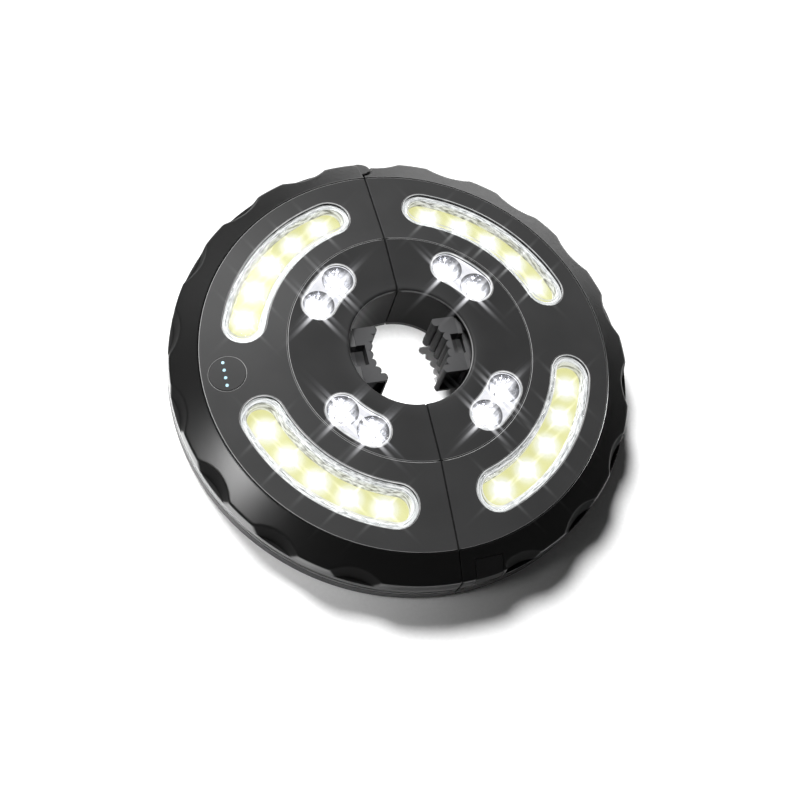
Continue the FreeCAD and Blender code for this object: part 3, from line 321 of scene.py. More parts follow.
MATERIALS = {
    # edge=0.3 paints the panels' rounded edges a pale grey: a painted highlight.
    "face_grey": plastic("face_grey", (0.038, 0.038, 0.0383), 0.36, shine=0.03, edge=0.3),
    # The centre disc gets a darker grey than the outer face: painted shade, for how the flat disc takes the
    # light compared with the sloping face.
    "disc_grey": plastic("disc_grey", (0.029, 0.029, 0.0293), 0.36, shine=0.03, edge=0.3),
    "rim_black": scalloped("rim_black"),
    "back_black": plastic("back_black", (0.008, 0.008, 0.0082), 0.4),
    "sleeve_black": plastic("sleeve_black", (0.005, 0.0045, 0.0045), 0.4, shine=0.06),
    "jaw_rubber": plastic("jaw_rubber", (0.034, 0.034, 0.035), 0.6, grain=1500.0, grain_depth=0.00006,
                          shine=0.1),
    "slide_nylon": plastic("slide_nylon", (0.02, 0.02, 0.021), 0.5),
    "guide_plastic": plastic("guide_plastic", (0.08, 0.08, 0.082), 0.5),
    "spring_steel": metal("spring_steel", (0.6, 0.6, 0.61), 0.3),
    "cell_foil": metal("cell_foil", (0.62, 0.63, 0.65), 0.35, grain=400.0),
    "screw_steel": metal("screw_steel", (0.08, 0.08, 0.085), 0.35),
    "window_clear": lit_cover("window_clear", (0.97, 0.98, 0.98)),
    "tray_white": painted_glow_tray("tray_white"),
    "strip_white": lit_board("strip_white", (0.86, 0.84, 0.38), (1.0, 0.99, 0.7), 2.0, 90.0),
    "spot_clear": lit_cover("spot_clear", (0.98, 0.98, 1.0)),
    "cup_silver": mirror_with_painted_light("cup_silver"),
    "board_white": lit_board("board_white", (0.97, 0.98, 1.0), WHITE, 4.0, 260.0),
    "pin_steel": metal("pin_steel", (0.6, 0.6, 0.61), 0.25),
    "latch_black": plastic("latch_black", (0.004, 0.004, 0.0041), 0.3),
    "striker_nylon": plastic("striker_nylon", (0.02, 0.02, 0.021), 0.5),
    "bracket_plastic": plastic("bracket_plastic", (0.02, 0.02, 0.021), 0.5),
    "button_black": plastic("button_black", (0.037, 0.037, 0.0373), 0.36, shine=0.03),
    "guide_clear": lit_dot("guide_clear"),
    "board_green": plastic("board_green", (0.012, 0.09, 0.035), 0.4),
    "switch_black": plastic("switch_black", (0.015, 0.015, 0.016), 0.35),
    "socket_metal": metal("socket_metal", (0.6, 0.6, 0.6), 0.25),
    "cover_rubber": plastic("cover_rubber", (0.012, 0.012, 0.013), 0.6),
}

slots = {s["node"]: s["material_slot"] for s in frame["record"]["subparts"]}
for name, node in frame["nodes"].items():
    node.data.materials.clear()
    node.data.materials.append(MATERIALS[slots[name]])


# ---------------------------------------------------------------- mesh helpers, in millimetres

ARC_STEPS = 72
END_STEPS = 14
EDGE_STEPS = 18
PANEL_STEP = 2.4
PANEL_EDGE = 0.3


class Shape:
    """Vertices and faces of one piece."""

    def __init__(self):
        self.points = []
        self.faces = []

    def add(self, points):
        """Add points and give back their indices."""
        first = len(self.points)
        self.points.extend(points)
        return list(range(first, len(self.points)))

    def bridge(self, a, b):
        """Quads between two closed loops of the same count."""
        count = len(a)
        for i in range(count):
            j = (i + 1) % count
            self.faces.append((a[i], a[j], b[j], b[i]))

    def fill(self, loops, height=None, step=None):
        """Triangles over the region inside the first loop and outside the others."""
        outline = [index for loop in loops for index in loop]
        flat = [Vector(self.points[index][:2]) for index in outline]
        rings = []
        start = 0
        for loop in loops:
            rings.append([flat[start + i] for i in range(len(loop))])
            start += len(loop)
        inner = interior_points(rings, step) if step else []
        extra = self.add([(x, y, height(x, y)) for x, y in inner])
        edges = []
        start = 0
        for loop in loops:
            count = len(loop)
            edges += [(start + i, start + (i + 1) % count) for i in range(count)]
            start += count
        index = outline + extra
        flat += [Vector(point) for point in inner]
        _, _, faces, origin, _, _ = delaunay_2d_cdt(flat, edges, [], 0, 1e-6)
        for face in faces:
            corners = [origin[corner][0] for corner in face]
            middle = sum((flat[corner] for corner in corners), Vector((0, 0))) / len(corners)
            if inside(middle, rings):
                self.faces.append(tuple(index[corner] for corner in corners))


def inside(point, rings):
    """Even-odd test of a plan point against closed loops."""
    x, y = point
    odd = False
    for ring in rings:
        xs, ys = zip(*ring)
        previous = len(ring) - 1
        for i in range(len(ring)):
            if (ys[i] > y) != (ys[previous] > y):
                if x < (xs[previous] - xs[i]) * (y - ys[i]) / (ys[previous] - ys[i]) + xs[i]:
                    odd = not odd
            previous = i
    return odd


def interior_points(rings, step):
    """A staggered grid of plan points inside a region, kept off its edges."""
    xs = [p[0] for p in rings[0]]
    ys = [p[1] for p in rings[0]]
    edge = np.array([tuple(p) for ring in rings for p in ring])
    points = []
    row = 0
    y = min(ys) + step / 2
    while y < max(ys):
        x = min(xs) + step / 2 + (row % 2) * step / 2
        while x < max(xs):
            near = np.min((edge[:, 0] - x) ** 2 + (edge[:, 1] - y) ** 2)
            if near > (0.45 * step) ** 2 and inside((x, y), rings):
                points.append((x, y))
            x += step
        y += step * 0.87
        row += 1
    return points


def piece(name, shape, body, slot, *stands_for, sharp=32.0, values=None):
    """Make an object from a shape, riding on a body and standing for CAD nodes.

    Values are functions of a point, kept as attributes for the material."""
    mesh = bpy.data.meshes.new(name)
    mesh.from_pydata([(x * MM, y * MM, z * MM) for x, y, z in shape.points], [], shape.faces)
    for key, function in (values or {}).items():
        layer = mesh.attributes.new(key, "FLOAT", "POINT")
        layer.data.foreach_set("value", [function(*point) for point in shape.points])
    work = bmesh.new()
    work.from_mesh(mesh)
    bmesh.ops.recalc_face_normals(work, faces=work.faces)
    work.to_mesh(mesh)
    work.free()
    mesh.materials.append(MATERIALS[slot])
    mesh.shade_smooth()
    mesh.set_sharp_from_angle(angle=math.radians(sharp))
    made = bpy.data.objects.new(name, mesh)
    bpy.context.collection.objects.link(made)
    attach(made, body)
    if stands_for:
        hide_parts(*stands_for)
    return made


def arc(radius, start, end, steps, centre=(0.0, 0.0)):
    """Plan points on an arc, ends included, angles in degrees."""
    points = []
    for i in range(steps + 1):
        turn = math.radians(start + (end - start) * i / steps)
        points.append((centre[0] + radius * math.cos(turn), centre[1] + radius * math.sin(turn)))
    return points


def half_ring_loop(side, inner, outer, grow, inner_grow=None):
    """Plan of half a ring beside the split, grown outward."""
    edge = SPLIT - grow
    outer += grow
    inner -= grow if inner_grow is None else inner_grow
    far = math.degrees(math.acos(edge / outer))
    near = math.degrees(math.acos(edge / inner))
    high, low = math.sqrt(outer ** 2 - edge ** 2), math.sqrt(inner ** 2 - edge ** 2)
    rungs = [high + (low - high) * i / EDGE_STEPS for i in range(1, EDGE_STEPS)]
    points = arc(outer, -far, far, 2 * ARC_STEPS) + [(edge, y) for y in rungs]
    points += arc(inner, near, -near, ARC_STEPS) + [(edge, -y) for y in reversed(rungs)]
    sign = 1 if side == "right" else -1
    return [(sign * x, y) for x, y in points]


def slot_loop(orbit, half, span, azimuth, grow):
    """Plan of a slot bent round the pole axis, grown outward."""
    half += grow
    points = arc(orbit + half, azimuth - span, azimuth + span, ARC_STEPS)
    far = math.radians(azimuth + span)
    points += arc(half, azimuth + span, azimuth + span + 180, END_STEPS,
                  (orbit * math.cos(far), orbit * math.sin(far)))[1:-1]
    points += arc(orbit - half, azimuth + span, azimuth - span, ARC_STEPS)
    near = math.radians(azimuth - span)
    points += arc(half, azimuth - span + 180, azimuth - span + 360, END_STEPS,
                  (orbit * math.cos(near), orbit * math.sin(near)))[1:-1]
    return points


def circle_loop(x, y, radius, grow):
    """Plan of a circle, grown outward."""
    return arc(radius + grow, 0, 360, 64, (x, y))[:-1]


def lift(loop, height):
    """Plan points raised to a height function."""
    return [(x, y, height(x, y)) for x, y in loop]


def level(height):
    """A height function that is the same everywhere."""
    return lambda x, y: height


def face_height(x, y):
    """Height of the lit face over a plan point."""
    return min(TOP, TOP - (math.hypot(x, y) - RING) * SLOPE)


def plate(name, outer, holes, height, under, body, slot, *stands_for, supports=(0.25,)):
    """A closed panel with rounded edges, between two height functions.

    The outer loop and the holes are functions of how far they grow."""
    shape = Shape()
    rows = [(PANEL_EDGE + extra, 0.0) for extra in sorted(supports, reverse=True)]
    rows += [(PANEL_EDGE * (1 - math.sin(math.radians(t))), PANEL_EDGE * (1 - math.cos(math.radians(t))))
             for t in (0, 30, 60, 90)]
    tops, bottoms = [], []
    for loop, sign in [(outer, -1)] + [(hole, 1) for hole in holes]:
        previous = None
        for inset, drop in rows:
            now = shape.add(lift(loop(sign * inset), lambda x, y: height(x, y) - drop))
            if previous:
                shape.bridge(previous, now)
            else:
                tops.append(now)
            previous = now
        bottoms.append(shape.add(lift(loop(0.0), under)))
        shape.bridge(previous, bottoms[-1])
    shape.fill(tops, height, PANEL_STEP)
    shape.fill(bottoms, under, 2 * PANEL_STEP)

    # Marks the rounded top edge, away from the split, for the painted highlight that the plastic lays on it.
    def edge(x, y, z):
        on_roll = 0.1 * PANEL_EDGE < height(x, y) - z < 0.6 * PANEL_EDGE
        return 1.0 if on_roll and abs(x) > 1.5 else 0.0

    return piece(name, shape, body, slot, *stands_for, values={"edge": edge})


# ---------------------------------------------------------------- face panels

def lamp_hole(azimuth):
    """Opening of one curved lamp."""
    return lambda grow: slot_loop(LAMP_ORBIT, LAMP_HALF, LAMP_SPAN, azimuth, grow)


def spot_hole(azimuth):
    """Opening of one pair of spots."""
    return lambda grow: slot_loop(SPOT_ORBIT, SPOT_HALF, SPOT_SPAN, azimuth, grow)


def own_quadrants(side):
    """Names and directions of the two lamp quadrants on one side."""
    return [(name, azimuth) for name, azimuth in QUADRANTS.items() if name.endswith(side)]


def disc_height(x, y):
    """Height of the centre disc, rolled over at the pole hole."""
    back = max(0.0, BORE + BORE_ROUND - math.hypot(x, y))
    return TOP - BORE_ROUND + math.sqrt(max(0.0, BORE_ROUND ** 2 - back ** 2))


def disc_loop(side, grow):
    """Plan of half the centre disc, with its inner edge drawn back further for the rolled bore edge."""
    beyond = max(0.0, -grow - PANEL_EDGE)
    return half_ring_loop(side, BORE, RING - LINE / 2, grow, grow - 6 * beyond)


def face_panels(side):
    """The sloping outer face and the raised centre disc of one half."""
    body = f"{side}_half"
    holes = [lamp_hole(azimuth) for _, azimuth in own_quadrants(side)]
    if side == "left":
        holes.append(lambda grow: circle_loop(-BUTTON_ORBIT, 0.0, BUTTON_R + BUTTON_GAP, grow))
    plate(f"{side}_outer_face", lambda grow: half_ring_loop(side, RING + LINE / 2, FACE - LINE, grow),
          holes, face_height, lambda x, y: face_height(x, y) - PANEL, body, "face_grey",
          f"{side}_face_ring")
    holes = [spot_hole(azimuth) for _, azimuth in own_quadrants(side)]
    plate(f"{side}_centre_disc", lambda grow: disc_loop(side, grow), holes, disc_height,
          level(TOP - PANEL), body, "disc_grey", f"{side}_centre_plate", supports=(0.05, 0.1, 0.15, 0.25))


for side in ("left", "right"):
    face_panels(side)


# ---------------------------------------------------------------- rim with its thumb scallops

SCALLOP_PITCH = 20.0                    # degrees from one scallop to the next
SCALLOP_PHASE = 5.0                     # direction of the first, in degrees
SCALLOP_ROOT = 95.5                     # radius of its deepest line, at the root height
SCALLOP_ROOT_HEIGHT = 21.5
SCALLOP_R = 26.8
SCALLOP_TILT = math.radians(21.0)
FLAT_LEFT, FLAT_RIGHT = -24.0, 19.6     # X where the scallops stop on each side of the latch
EDGE_ROLL = 0.35                        # rounding beside the split
RIM_STEPS = 500
RIM_SHARP = 40.0
RIM_WALL = 2.2                          # wall below the scallops
WELL_R = 93.3                           # inner wall behind the scallops
SEAT_R = 86.2                           # inner edge of the seat under the face
STEP_BACK = {"lip": 0.08, "floor": 0.3}  # how far the band steps in under a scallop


def blend_low(a, b, width):
    """The lower of two values, with a rounded corner between them."""
    t = min(1.0, max(0.0, 0.5 + 0.5 * (b - a) / width))
    return b + (a - b) * t - width * t * (1 - t)


def smooth(t):
    """A soft step from 0 to 1."""
    t = min(1.0, max(0.0, t))
    return t * t * (3 - 2 * t)


def shoulder_radius(z):
    """Radius of the unscalloped rim at a height."""
    band = RIM - RIM_DRAFT * (z - SCALLOP_FLOOR) / (SHOULDER - SCALLOP_FLOOR)
    slope = RIM - RIM_DRAFT - (z - SHOULDER) * (RIM - RIM_DRAFT - FACE) / (FACE_TOP - SHOULDER)
    return blend_low(band, slope, 0.7)


def scallop_radius(turn, z):
    """Radius of the scalloped surface in a direction, which is beyond the rim between scallops."""
    wide = SCALLOP_R / math.cos(SCALLOP_TILT)
    centre = SCALLOP_ROOT + wide + (SCALLOP_ROOT_HEIGHT - z) * math.tan(SCALLOP_TILT)
    away = (math.degrees(turn) - SCALLOP_PHASE + SCALLOP_PITCH / 2) % SCALLOP_PITCH - SCALLOP_PITCH / 2
    away = math.radians(away)
    radius = SCALLOP_ROOT
    for _ in range(4):
        y = radius * math.sin(away)
        radius = (centre - wide * math.sqrt(max(0.0, 1 - (y / SCALLOP_R) ** 2))) / math.cos(away)
    x, y = RIM * math.cos(turn), RIM * math.sin(turn)
    if y < 0:
        within = min(x - FLAT_LEFT, FLAT_RIGHT - x)
        radius += 12 * smooth(within + 0.5)
    return radius


def rim_rows():
    """The rim's section: (radius, height, part) from the seam up, over and back inside.

    A skin row has no radius of its own, because the shoulder and the scallops give it."""
    edge = [(RIM - 0.4, SEAM), (RIM - 0.13, SEAM + 0.12), (RIM, SEAM + 0.4)]
    fine_groove = [(RIM, 9.6), (RIM - 0.12, 9.7), (RIM - 0.12, 9.8), (RIM, 9.9)]
    groove = [(RIM, 10.6), (RIM - 0.3, 10.75), (RIM - 0.3, 11.25), (RIM, 11.4)]
    band = edge + fine_groove + groove + [(RIM, 12.5), (RIM, SCALLOP_FLOOR - 0.3)]
    rows = [(r, z, "band") for r, z in band]
    rows += [(RIM, SCALLOP_FLOOR - 0.08, "lip"), (RIM, SCALLOP_FLOOR, "floor")]
    heights = [SCALLOP_FLOOR, 14.35, 14.6, 15.0, 15.6, 16.2, 16.8, 17.3, 17.7]
    heights += [18.0 + 0.3 * i for i in range(22)] + [24.6, 24.8]
    rows += [(None, z, "skin") for z in heights]
    face_edge = [(FACE + 0.16, FACE_TOP - 0.06), (FACE + 0.02, FACE_TOP - 0.14), (FACE, FACE_TOP - 0.3)]
    rows += [(r, z, "band") for r, z in face_edge]
    inside = [(FACE, FACE_TOP - PANEL - 0.1), (SEAT_R, FACE_TOP - PANEL + 0.2), (SEAT_R, 20.5),
              (WELL_R, 16.9), (WELL_R, 12.0), (RIM - RIM_WALL, 9.5), (RIM - RIM_WALL, SEAM)]
    return rows + [(r, z, "inside") for r, z in inside]


def rim_point(row, turn, from_split):
    """One point of the rim's skin, as radius and height."""
    radius, z, part = row
    if part == "inside":
        return radius, z
    if part != "band":
        deep = smooth((RIM - scallop_radius(turn, SCALLOP_FLOOR)) / 0.5)
    if part in STEP_BACK:
        radius -= STEP_BACK[part] * deep
    if part == "skin":
        radius = blend_low(shoulder_radius(z), scallop_radius(turn, z), 0.45)
        if z < SCALLOP_FLOOR + 0.3:
            radius = min(radius, RIM - STEP_BACK["floor"] * deep)
    if from_split < EDGE_ROLL:
        radius -= EDGE_ROLL - math.sqrt(EDGE_ROLL ** 2 - (EDGE_ROLL - from_split) ** 2)
    return radius, z


def rim_columns():
    """Positions round one half: distance from the split plane near the ends, else a direction."""
    near = [SPLIT + EDGE_ROLL * t for t in (0.0, 0.15, 0.4, 0.7, 1.0)]
    first = math.degrees(math.asin((SPLIT + EDGE_ROLL + 0.3) / RIM))
    turns = [-90 + first + (180 - 2 * first) * i / RIM_STEPS for i in range(RIM_STEPS + 1)]
    columns = [("gap", at, -1) for at in near]
    columns += [("turn", at, 0) for at in turns]
    columns += [("gap", at, 1) for at in reversed(near)]
    return columns


def cut_depth(x, y, z):
    """How far a point of the rim lies inside the unscalloped skin, from 0 to 1."""
    if not SCALLOP_FLOOR - 0.2 < z < FACE_TOP - 0.5 or math.hypot(x, y) < FACE + 1:
        return 0.0
    return smooth((shoulder_radius(z) - math.hypot(x, y)) / 0.5)


def rim_shell(side):
    """The rim of one half as a closed shell."""
    shape = Shape()
    sign = 1 if side == "right" else -1
    rows = rim_rows()
    sections = []
    for kind, at, end in rim_columns():
        section = []
        for row in rows:
            base = row[0] or shoulder_radius(row[1])
            turn = math.radians(at) if kind == "turn" else end * math.acos(at / base)
            gap = base * math.cos(turn) - SPLIT
            world = turn if side == "right" else math.pi - turn
            radius, z = rim_point(row, world, max(0.0, gap))
            if kind == "gap":
                turn = end * math.acos(at / radius)
            section.append((sign * radius * math.cos(turn), radius * math.sin(turn), z))
        sections.append(shape.add(section))
    for a, b in zip(sections, sections[1:]):
        shape.bridge(a, b)
    shape.faces.append(tuple(sections[0]))
    shape.faces.append(tuple(reversed(sections[-1])))
    return piece(f"{side}_rim", shape, f"{side}_half", "rim_black", f"{side}_rim_frame", sharp=RIM_SHARP,
                 values={"cut": cut_depth})


def carve(made, *cutters):
    """Cut other objects out of a piece and remove them."""
    for tool in cutters:
        modifier = made.modifiers.new("cut", "BOOLEAN")
        modifier.operation = "DIFFERENCE"
        modifier.solver = "EXACT"
        modifier.object = tool
    graph = bpy.context.evaluated_depsgraph_get()
    carved = bpy.data.meshes.new_from_object(made.evaluated_get(graph))
    made.modifiers.clear()
    made.data = carved
    carved.set_sharp_from_angle(angle=math.radians(RIM_SHARP))
    for tool in cutters:
        bpy.data.objects.remove(tool)


def cutter(matrix, maker, **sizes):
    """A cutting solid, in millimetres in its own axes."""
    work = bmesh.new()
    maker(work, **sizes)
    mesh = bpy.data.meshes.new("cutter")
    work.transform(Matrix.Scale(MM, 4) @ matrix)
    work.to_mesh(mesh)
    work.free()
    made = bpy.data.objects.new("cutter", mesh)
    bpy.context.collection.objects.link(made)
    return made


def block_cutter(matrix, x0, x1, y0, y1, z0, z1):
    """A block between two corners in its own axes."""
    sizes = Matrix.Diagonal((x1 - x0, y1 - y0, z1 - z0, 1))
    middle = Matrix.Translation(((x0 + x1) / 2, (y0 + y1) / 2, (z0 + z1) / 2))
    return cutter(matrix @ middle @ sizes, bmesh.ops.create_cube, size=1.0)


def hinge_cutter(radius, z0, z1):
    """A round bar on the hinge axis."""
    middle = Matrix.Translation((0, HINGE_Y, (z0 + z1) / 2))
    return cutter(middle, bmesh.ops.create_cone, cap_ends=True, segments=96, radius1=radius,
                  radius2=radius, depth=z1 - z0)


KNUCKLE_R = 4.6
KNUCKLE_RELIEF_R = 5.6
LEFT_KNUCKLE_FOOT = 10.8
RIGHT_KNUCKLE_HEAD = 10.5

# Axes of the latch and the charge port, and what is cut there: lowest and highest X, Y and Z.
LATCH = Matrix.Translation((0, -LATCH_REACH, LATCH_HEIGHT)) @ Matrix.Rotation(LATCH_TILT, 4, "X")
PORT = Matrix.Rotation(math.radians(131.0), 4, "Z")
LATCH_WINDOW = (5.9, 18.2, -5.9, 5.9, -12, 12)
PORT_RECESS = (98.6, 102, -6.6, 6.6, 8.6, 13.4)
SOCKET_HOLE = (88, 99, -4.6, 4.6, 9.3, 12.7)


def hinge_knuckle(side, foot, top):
    """A knuckle on the hinge axis, from a flat foot up to a height function."""
    shape = Shape()
    rows = [shape.add(lift(circle_loop(0, HINGE_Y, KNUCKLE_R, 0.0), level(foot)))]
    for grow, drop in ((0.0, 0.3), (-0.08, 0.1), (-0.3, 0.0)):
        loop = circle_loop(0, HINGE_Y, KNUCKLE_R, grow)
        rows.append(shape.add(lift(loop, lambda x, y: top(x, y) - drop)))
    for a, b in zip(rows, rows[1:]):
        shape.bridge(a, b)
    shape.faces.append(tuple(rows[0]))
    shape.fill([rows[-1]], top, 0.7)
    piece(f"{side}_hinge_knuckle", shape, f"{side}_half", "rim_black", sharp=50.0)


def skin_height(x, y):
    """Height just under the rim's skin over a plan point near the hinge."""
    radius = min(math.hypot(x, y), RIM - RIM_DRAFT)
    return FACE_TOP - (radius - FACE) * (FACE_TOP - SHOULDER) / (RIM - RIM_DRAFT - FACE) - 0.03


left_rim = rim_shell("left")
right_rim = rim_shell("right")
carve(left_rim, hinge_cutter(KNUCKLE_RELIEF_R, -1, LEFT_KNUCKLE_FOOT), block_cutter(PORT, *PORT_RECESS),
      block_cutter(PORT, *SOCKET_HOLE))
carve(right_rim, hinge_cutter(KNUCKLE_RELIEF_R, RIGHT_KNUCKLE_HEAD, 40), block_cutter(LATCH, *LATCH_WINDOW))
hinge_knuckle("left", LEFT_KNUCKLE_FOOT, skin_height)
hinge_knuckle("right", SEAM, level(RIGHT_KNUCKLE_HEAD))


# ---------------------------------------------------------------- curved lamps

SKIN_EDGE = LAMP_HALF - 2.9
LIT_BEADS = ((0.3, 0.6), (1.95, 2.5))
TRAY_FLOOR = 19.6
TRAY_STEP = 22.4
STRIP_HALF = 6.0
STRIP_FLOOR = 20.6
STRIP_TOP = 21.8
LED_RISE = 0.9
LED_GLOW = 3.7
LED_CORE = 0.5


def across_slot(orbit, span, azimuth, x, y):
    """Distance from a slot's centre line, and the direction along it in degrees."""
    along = (math.degrees(math.atan2(y, x)) - azimuth + 180) % 360 - 180
    held = math.radians(azimuth + max(-span, min(span, along)))
    return math.hypot(x - orbit * math.cos(held), y - orbit * math.sin(held)), along


def swept_slot(azimuth, orbit, half, span, section, base):
    """Rows of a section, as (grow, rise) from the slot's edge and a base height, swept round a slot."""
    shape = Shape()
    rows = []
    for grow, rise in section:
        loop = slot_loop(orbit, half, span, azimuth, grow)
        rows.append(shape.add([(x, y, base(x, y) + rise) for x, y in loop]))
        if len(rows) > 1:
            shape.bridge(rows[-2], rows[-1])
    return shape, rows


def lamp_cover(name, azimuth, body):
    """The clear window: an outer bead, a groove, an inner bead and a slightly crowned skin."""
    section = [(-0.2, -1.4), (-0.2, 0.25), (-0.32, 0.42), (-0.55, 0.5), (-0.8, 0.42), (-0.95, 0.2),
               (-1.1, -0.15), (-1.45, -0.25), (-1.75, -0.15), (-1.9, 0.2), (-2.05, 0.42), (-2.35, 0.5),
               (-2.6, 0.42), (-2.75, 0.25), (-2.9, 0.1)]

    def crown(x, y):
        off, _ = across_slot(LAMP_ORBIT, LAMP_SPAN, azimuth, x, y)
        return face_height(x, y) + 0.1 + 0.35 * smooth((SKIN_EDGE - off) / 3.0)

    def glow(x, y, z):
        off, _ = across_slot(LAMP_ORBIT, LAMP_SPAN, azimuth, x, y)
        on_bead = any(low < LAMP_HALF - off < high for low, high in LIT_BEADS)
        return 1.0 if on_bead and z > face_height(x, y) - 0.05 else 0.0

    shape, rows = swept_slot(azimuth, LAMP_ORBIT, LAMP_HALF, LAMP_SPAN, section, face_height)
    shape.fill([rows[-1]], crown, 1.3)
    shape.fill([rows[0]])
    piece(f"{name}_window", shape, body, "window_clear", f"{name}_lamp_window",
          sharp=60.0, values={"glow": glow})


def lamp_tray(name, azimuth, body):
    """The white tray: a sloping wall from the window down to the strip, painted bright with a glow that
    stands in for the strip's light on it.
    """
    shape = Shape()

    def wall_top(x, y):
        return face_height(x, y) - 1.6

    def ring(grow, height):
        return shape.add(lift(slot_loop(LAMP_ORBIT, LAMP_HALF, LAMP_SPAN, azimuth, grow), height))

    rows = [ring(-2.3, wall_top), ring(-2.6, lambda x, y: wall_top(x, y) - 0.15),
            ring(-3.1, level(TRAY_STEP)), ring(-3.15, level(STRIP_FLOOR))]
    outside_top = ring(-0.4, wall_top)
    outside_foot = ring(-0.4, level(TRAY_FLOOR))
    for a, b in zip(rows, rows[1:]):
        shape.bridge(a, b)
    shape.bridge(outside_foot, outside_top)
    shape.bridge(outside_top, rows[0])
    shape.fill([rows[-1]])
    shape.fill([outside_foot])

    def along(x, y, z):
        return 0.35 * across_slot(LAMP_ORBIT, LAMP_SPAN, azimuth, x, y)[1]

    def off(x, y, z):
        return 0.5 * z + 2.2 * across_slot(LAMP_ORBIT, LAMP_SPAN, azimuth, x, y)[0]

    piece(f"{name}_tray", shape, body, "tray_white", f"{name}_lamp_reflector",
          values={"along": along, "off": off})


def hot_spot(azimuth, x, y, width):
    """How near a point of the strip is to one of its five LEDs, from 0 to 1."""
    best = 0.0
    for k in range(-2, 3):
        turn = math.radians(azimuth + LED_PITCH * k)
        away = math.hypot(x - LAMP_ORBIT * math.cos(turn), y - LAMP_ORBIT * math.sin(turn))
        best = max(best, math.exp(-(away / width) ** 2))
    return best


def lamp_strip(name, azimuth, body):
    """The LED strip: a pill of pale yellow phosphor with five swellings, one over each LED."""
    section = [(0.0, 0.0), (0.0, 0.9), (-0.12, 1.12), (-0.35, 1.2)]
    shape, rows = swept_slot(azimuth, LAMP_ORBIT, STRIP_HALF, LAMP_SPAN, section, level(STRIP_FLOOR))
    shape.fill([rows[-1]], lambda x, y: STRIP_TOP + LED_RISE * hot_spot(azimuth, x, y, LED_GLOW), 0.9)
    shape.fill([rows[0]])
    piece(f"{name}_strip", shape, body, "strip_white", f"{name}_led_strip",
          values={"hot": lambda x, y, z: hot_spot(azimuth, x, y, LED_GLOW),
                  "core": lambda x, y, z: hot_spot(azimuth, x, y, LED_CORE)})


# ---------------------------------------------------------------- twin spots

CUP_RADII = (6.85, 6.7, 5.7, 4.6, 3.5, 2.5)
CUP_DROPS = (0.0, 0.25, 1.6, 3.4, 5.4, 7.2)
CUP_FACETS = 16
CUP_SEAT_R = 6.78
SPOT_BEAD = 0.9
SPOT_BOARD_TOP = 21.4
DOME_R = 2.3
DOME_RISE = 3.0
DOME_LEVELS = 8


def spot_centres(azimuth):
    """Plan positions of a pair of spots."""
    return [(SPOT_ORBIT * math.cos(math.radians(azimuth + turn)),
             SPOT_ORBIT * math.sin(math.radians(azimuth + turn))) for turn in (-SPOT_SPAN, SPOT_SPAN)]


def spot_cover(name, azimuth, body):
    """The clear cover of a pair of spots, with one bright bead round it."""
    section = [(-0.2, -1.0), (-0.2, 0.2), (-0.32, 0.34), (-0.55, 0.4), (-0.8, 0.34), (-0.95, 0.15),
               (-1.15, -0.1)]

    def crown(x, y):
        off, _ = across_slot(SPOT_ORBIT, SPOT_SPAN, azimuth, x, y)
        return TOP - 0.1 + 0.35 * smooth((SPOT_HALF - 1.15 - off) / 3.0)

    def glow(x, y, z):
        off, _ = across_slot(SPOT_ORBIT, SPOT_SPAN, azimuth, x, y)
        return 1.0 if SPOT_HALF - off < SPOT_BEAD and z > TOP - 0.05 else 0.0

    shape, rows = swept_slot(azimuth, SPOT_ORBIT, SPOT_HALF, SPOT_SPAN, section, level(TOP))
    shape.fill([rows[-1]], crown, 1.2)
    shape.fill([rows[0]])
    piece(f"{name}_spot_cover", shape, body, "spot_clear", f"{name}_spot_lens",
          sharp=60.0, values={"glow": glow})


def spot_cups(name, azimuth, body):
    """The block under a spot cover, painted bright as if lit by the LEDs, with two faceted cups."""
    top = SPOT_CUP_TOP - 0.1
    shape, rows = swept_slot(azimuth, SPOT_ORBIT, SPOT_HALF, SPOT_SPAN,
                             [(-0.4, -8.9), (-0.4, -0.2), (-0.55, 0.0)], level(top))
    holes = []
    for centre in spot_centres(azimuth):
        tiers = []
        for tier, (radius, drop) in enumerate(zip(CUP_RADII, CUP_DROPS)):
            shift = 180 / CUP_FACETS * (tier % 2)
            loop = arc(radius, shift, shift + 360, CUP_FACETS, centre)[:-1]
            tiers.append(shape.add(lift(loop, level(top - drop))))
        for tier, (a, b) in enumerate(zip(tiers, tiers[1:])):
            for i in range(CUP_FACETS):
                j = (i + 1) % CUP_FACETS
                if tier % 2:
                    shape.faces += [(a[i], a[j], b[j]), (a[i], b[j], b[i])]
                else:
                    shape.faces += [(a[i], a[j], b[i]), (a[j], b[j], b[i])]
        holes.append(tiers[0])
        shape.faces.append(tuple(tiers[-1]))
    shape.fill([rows[-1]] + holes)
    shape.fill([rows[0]])

    def rim(x, y, z):
        away = min(math.hypot(x - cx, y - cy) for cx, cy in spot_centres(azimuth))
        return 1.0 if abs(away - CUP_SEAT_R) < 0.12 else 0.0

    def lit(x, y, z):
        # Painted light: the block glows, the seat stays dark, then the facets carry painted reflections of
        # uneven brightness that rises with depth.
        drop = top - z
        if drop < 0.1:
            return 0.95
        if drop < 0.3:
            return 0.1
        petal = 0.5 + 0.5 * math.sin(97.0 * x + 61.0 * y)
        return (0.1 + 0.9 * petal) * (0.1 + 0.13 * drop)

    piece(f"{name}_spot_cups", shape, body, "cup_silver", f"{name}_spot_reflector",
          sharp=8.0, values={"rim": rim, "lit": lit})


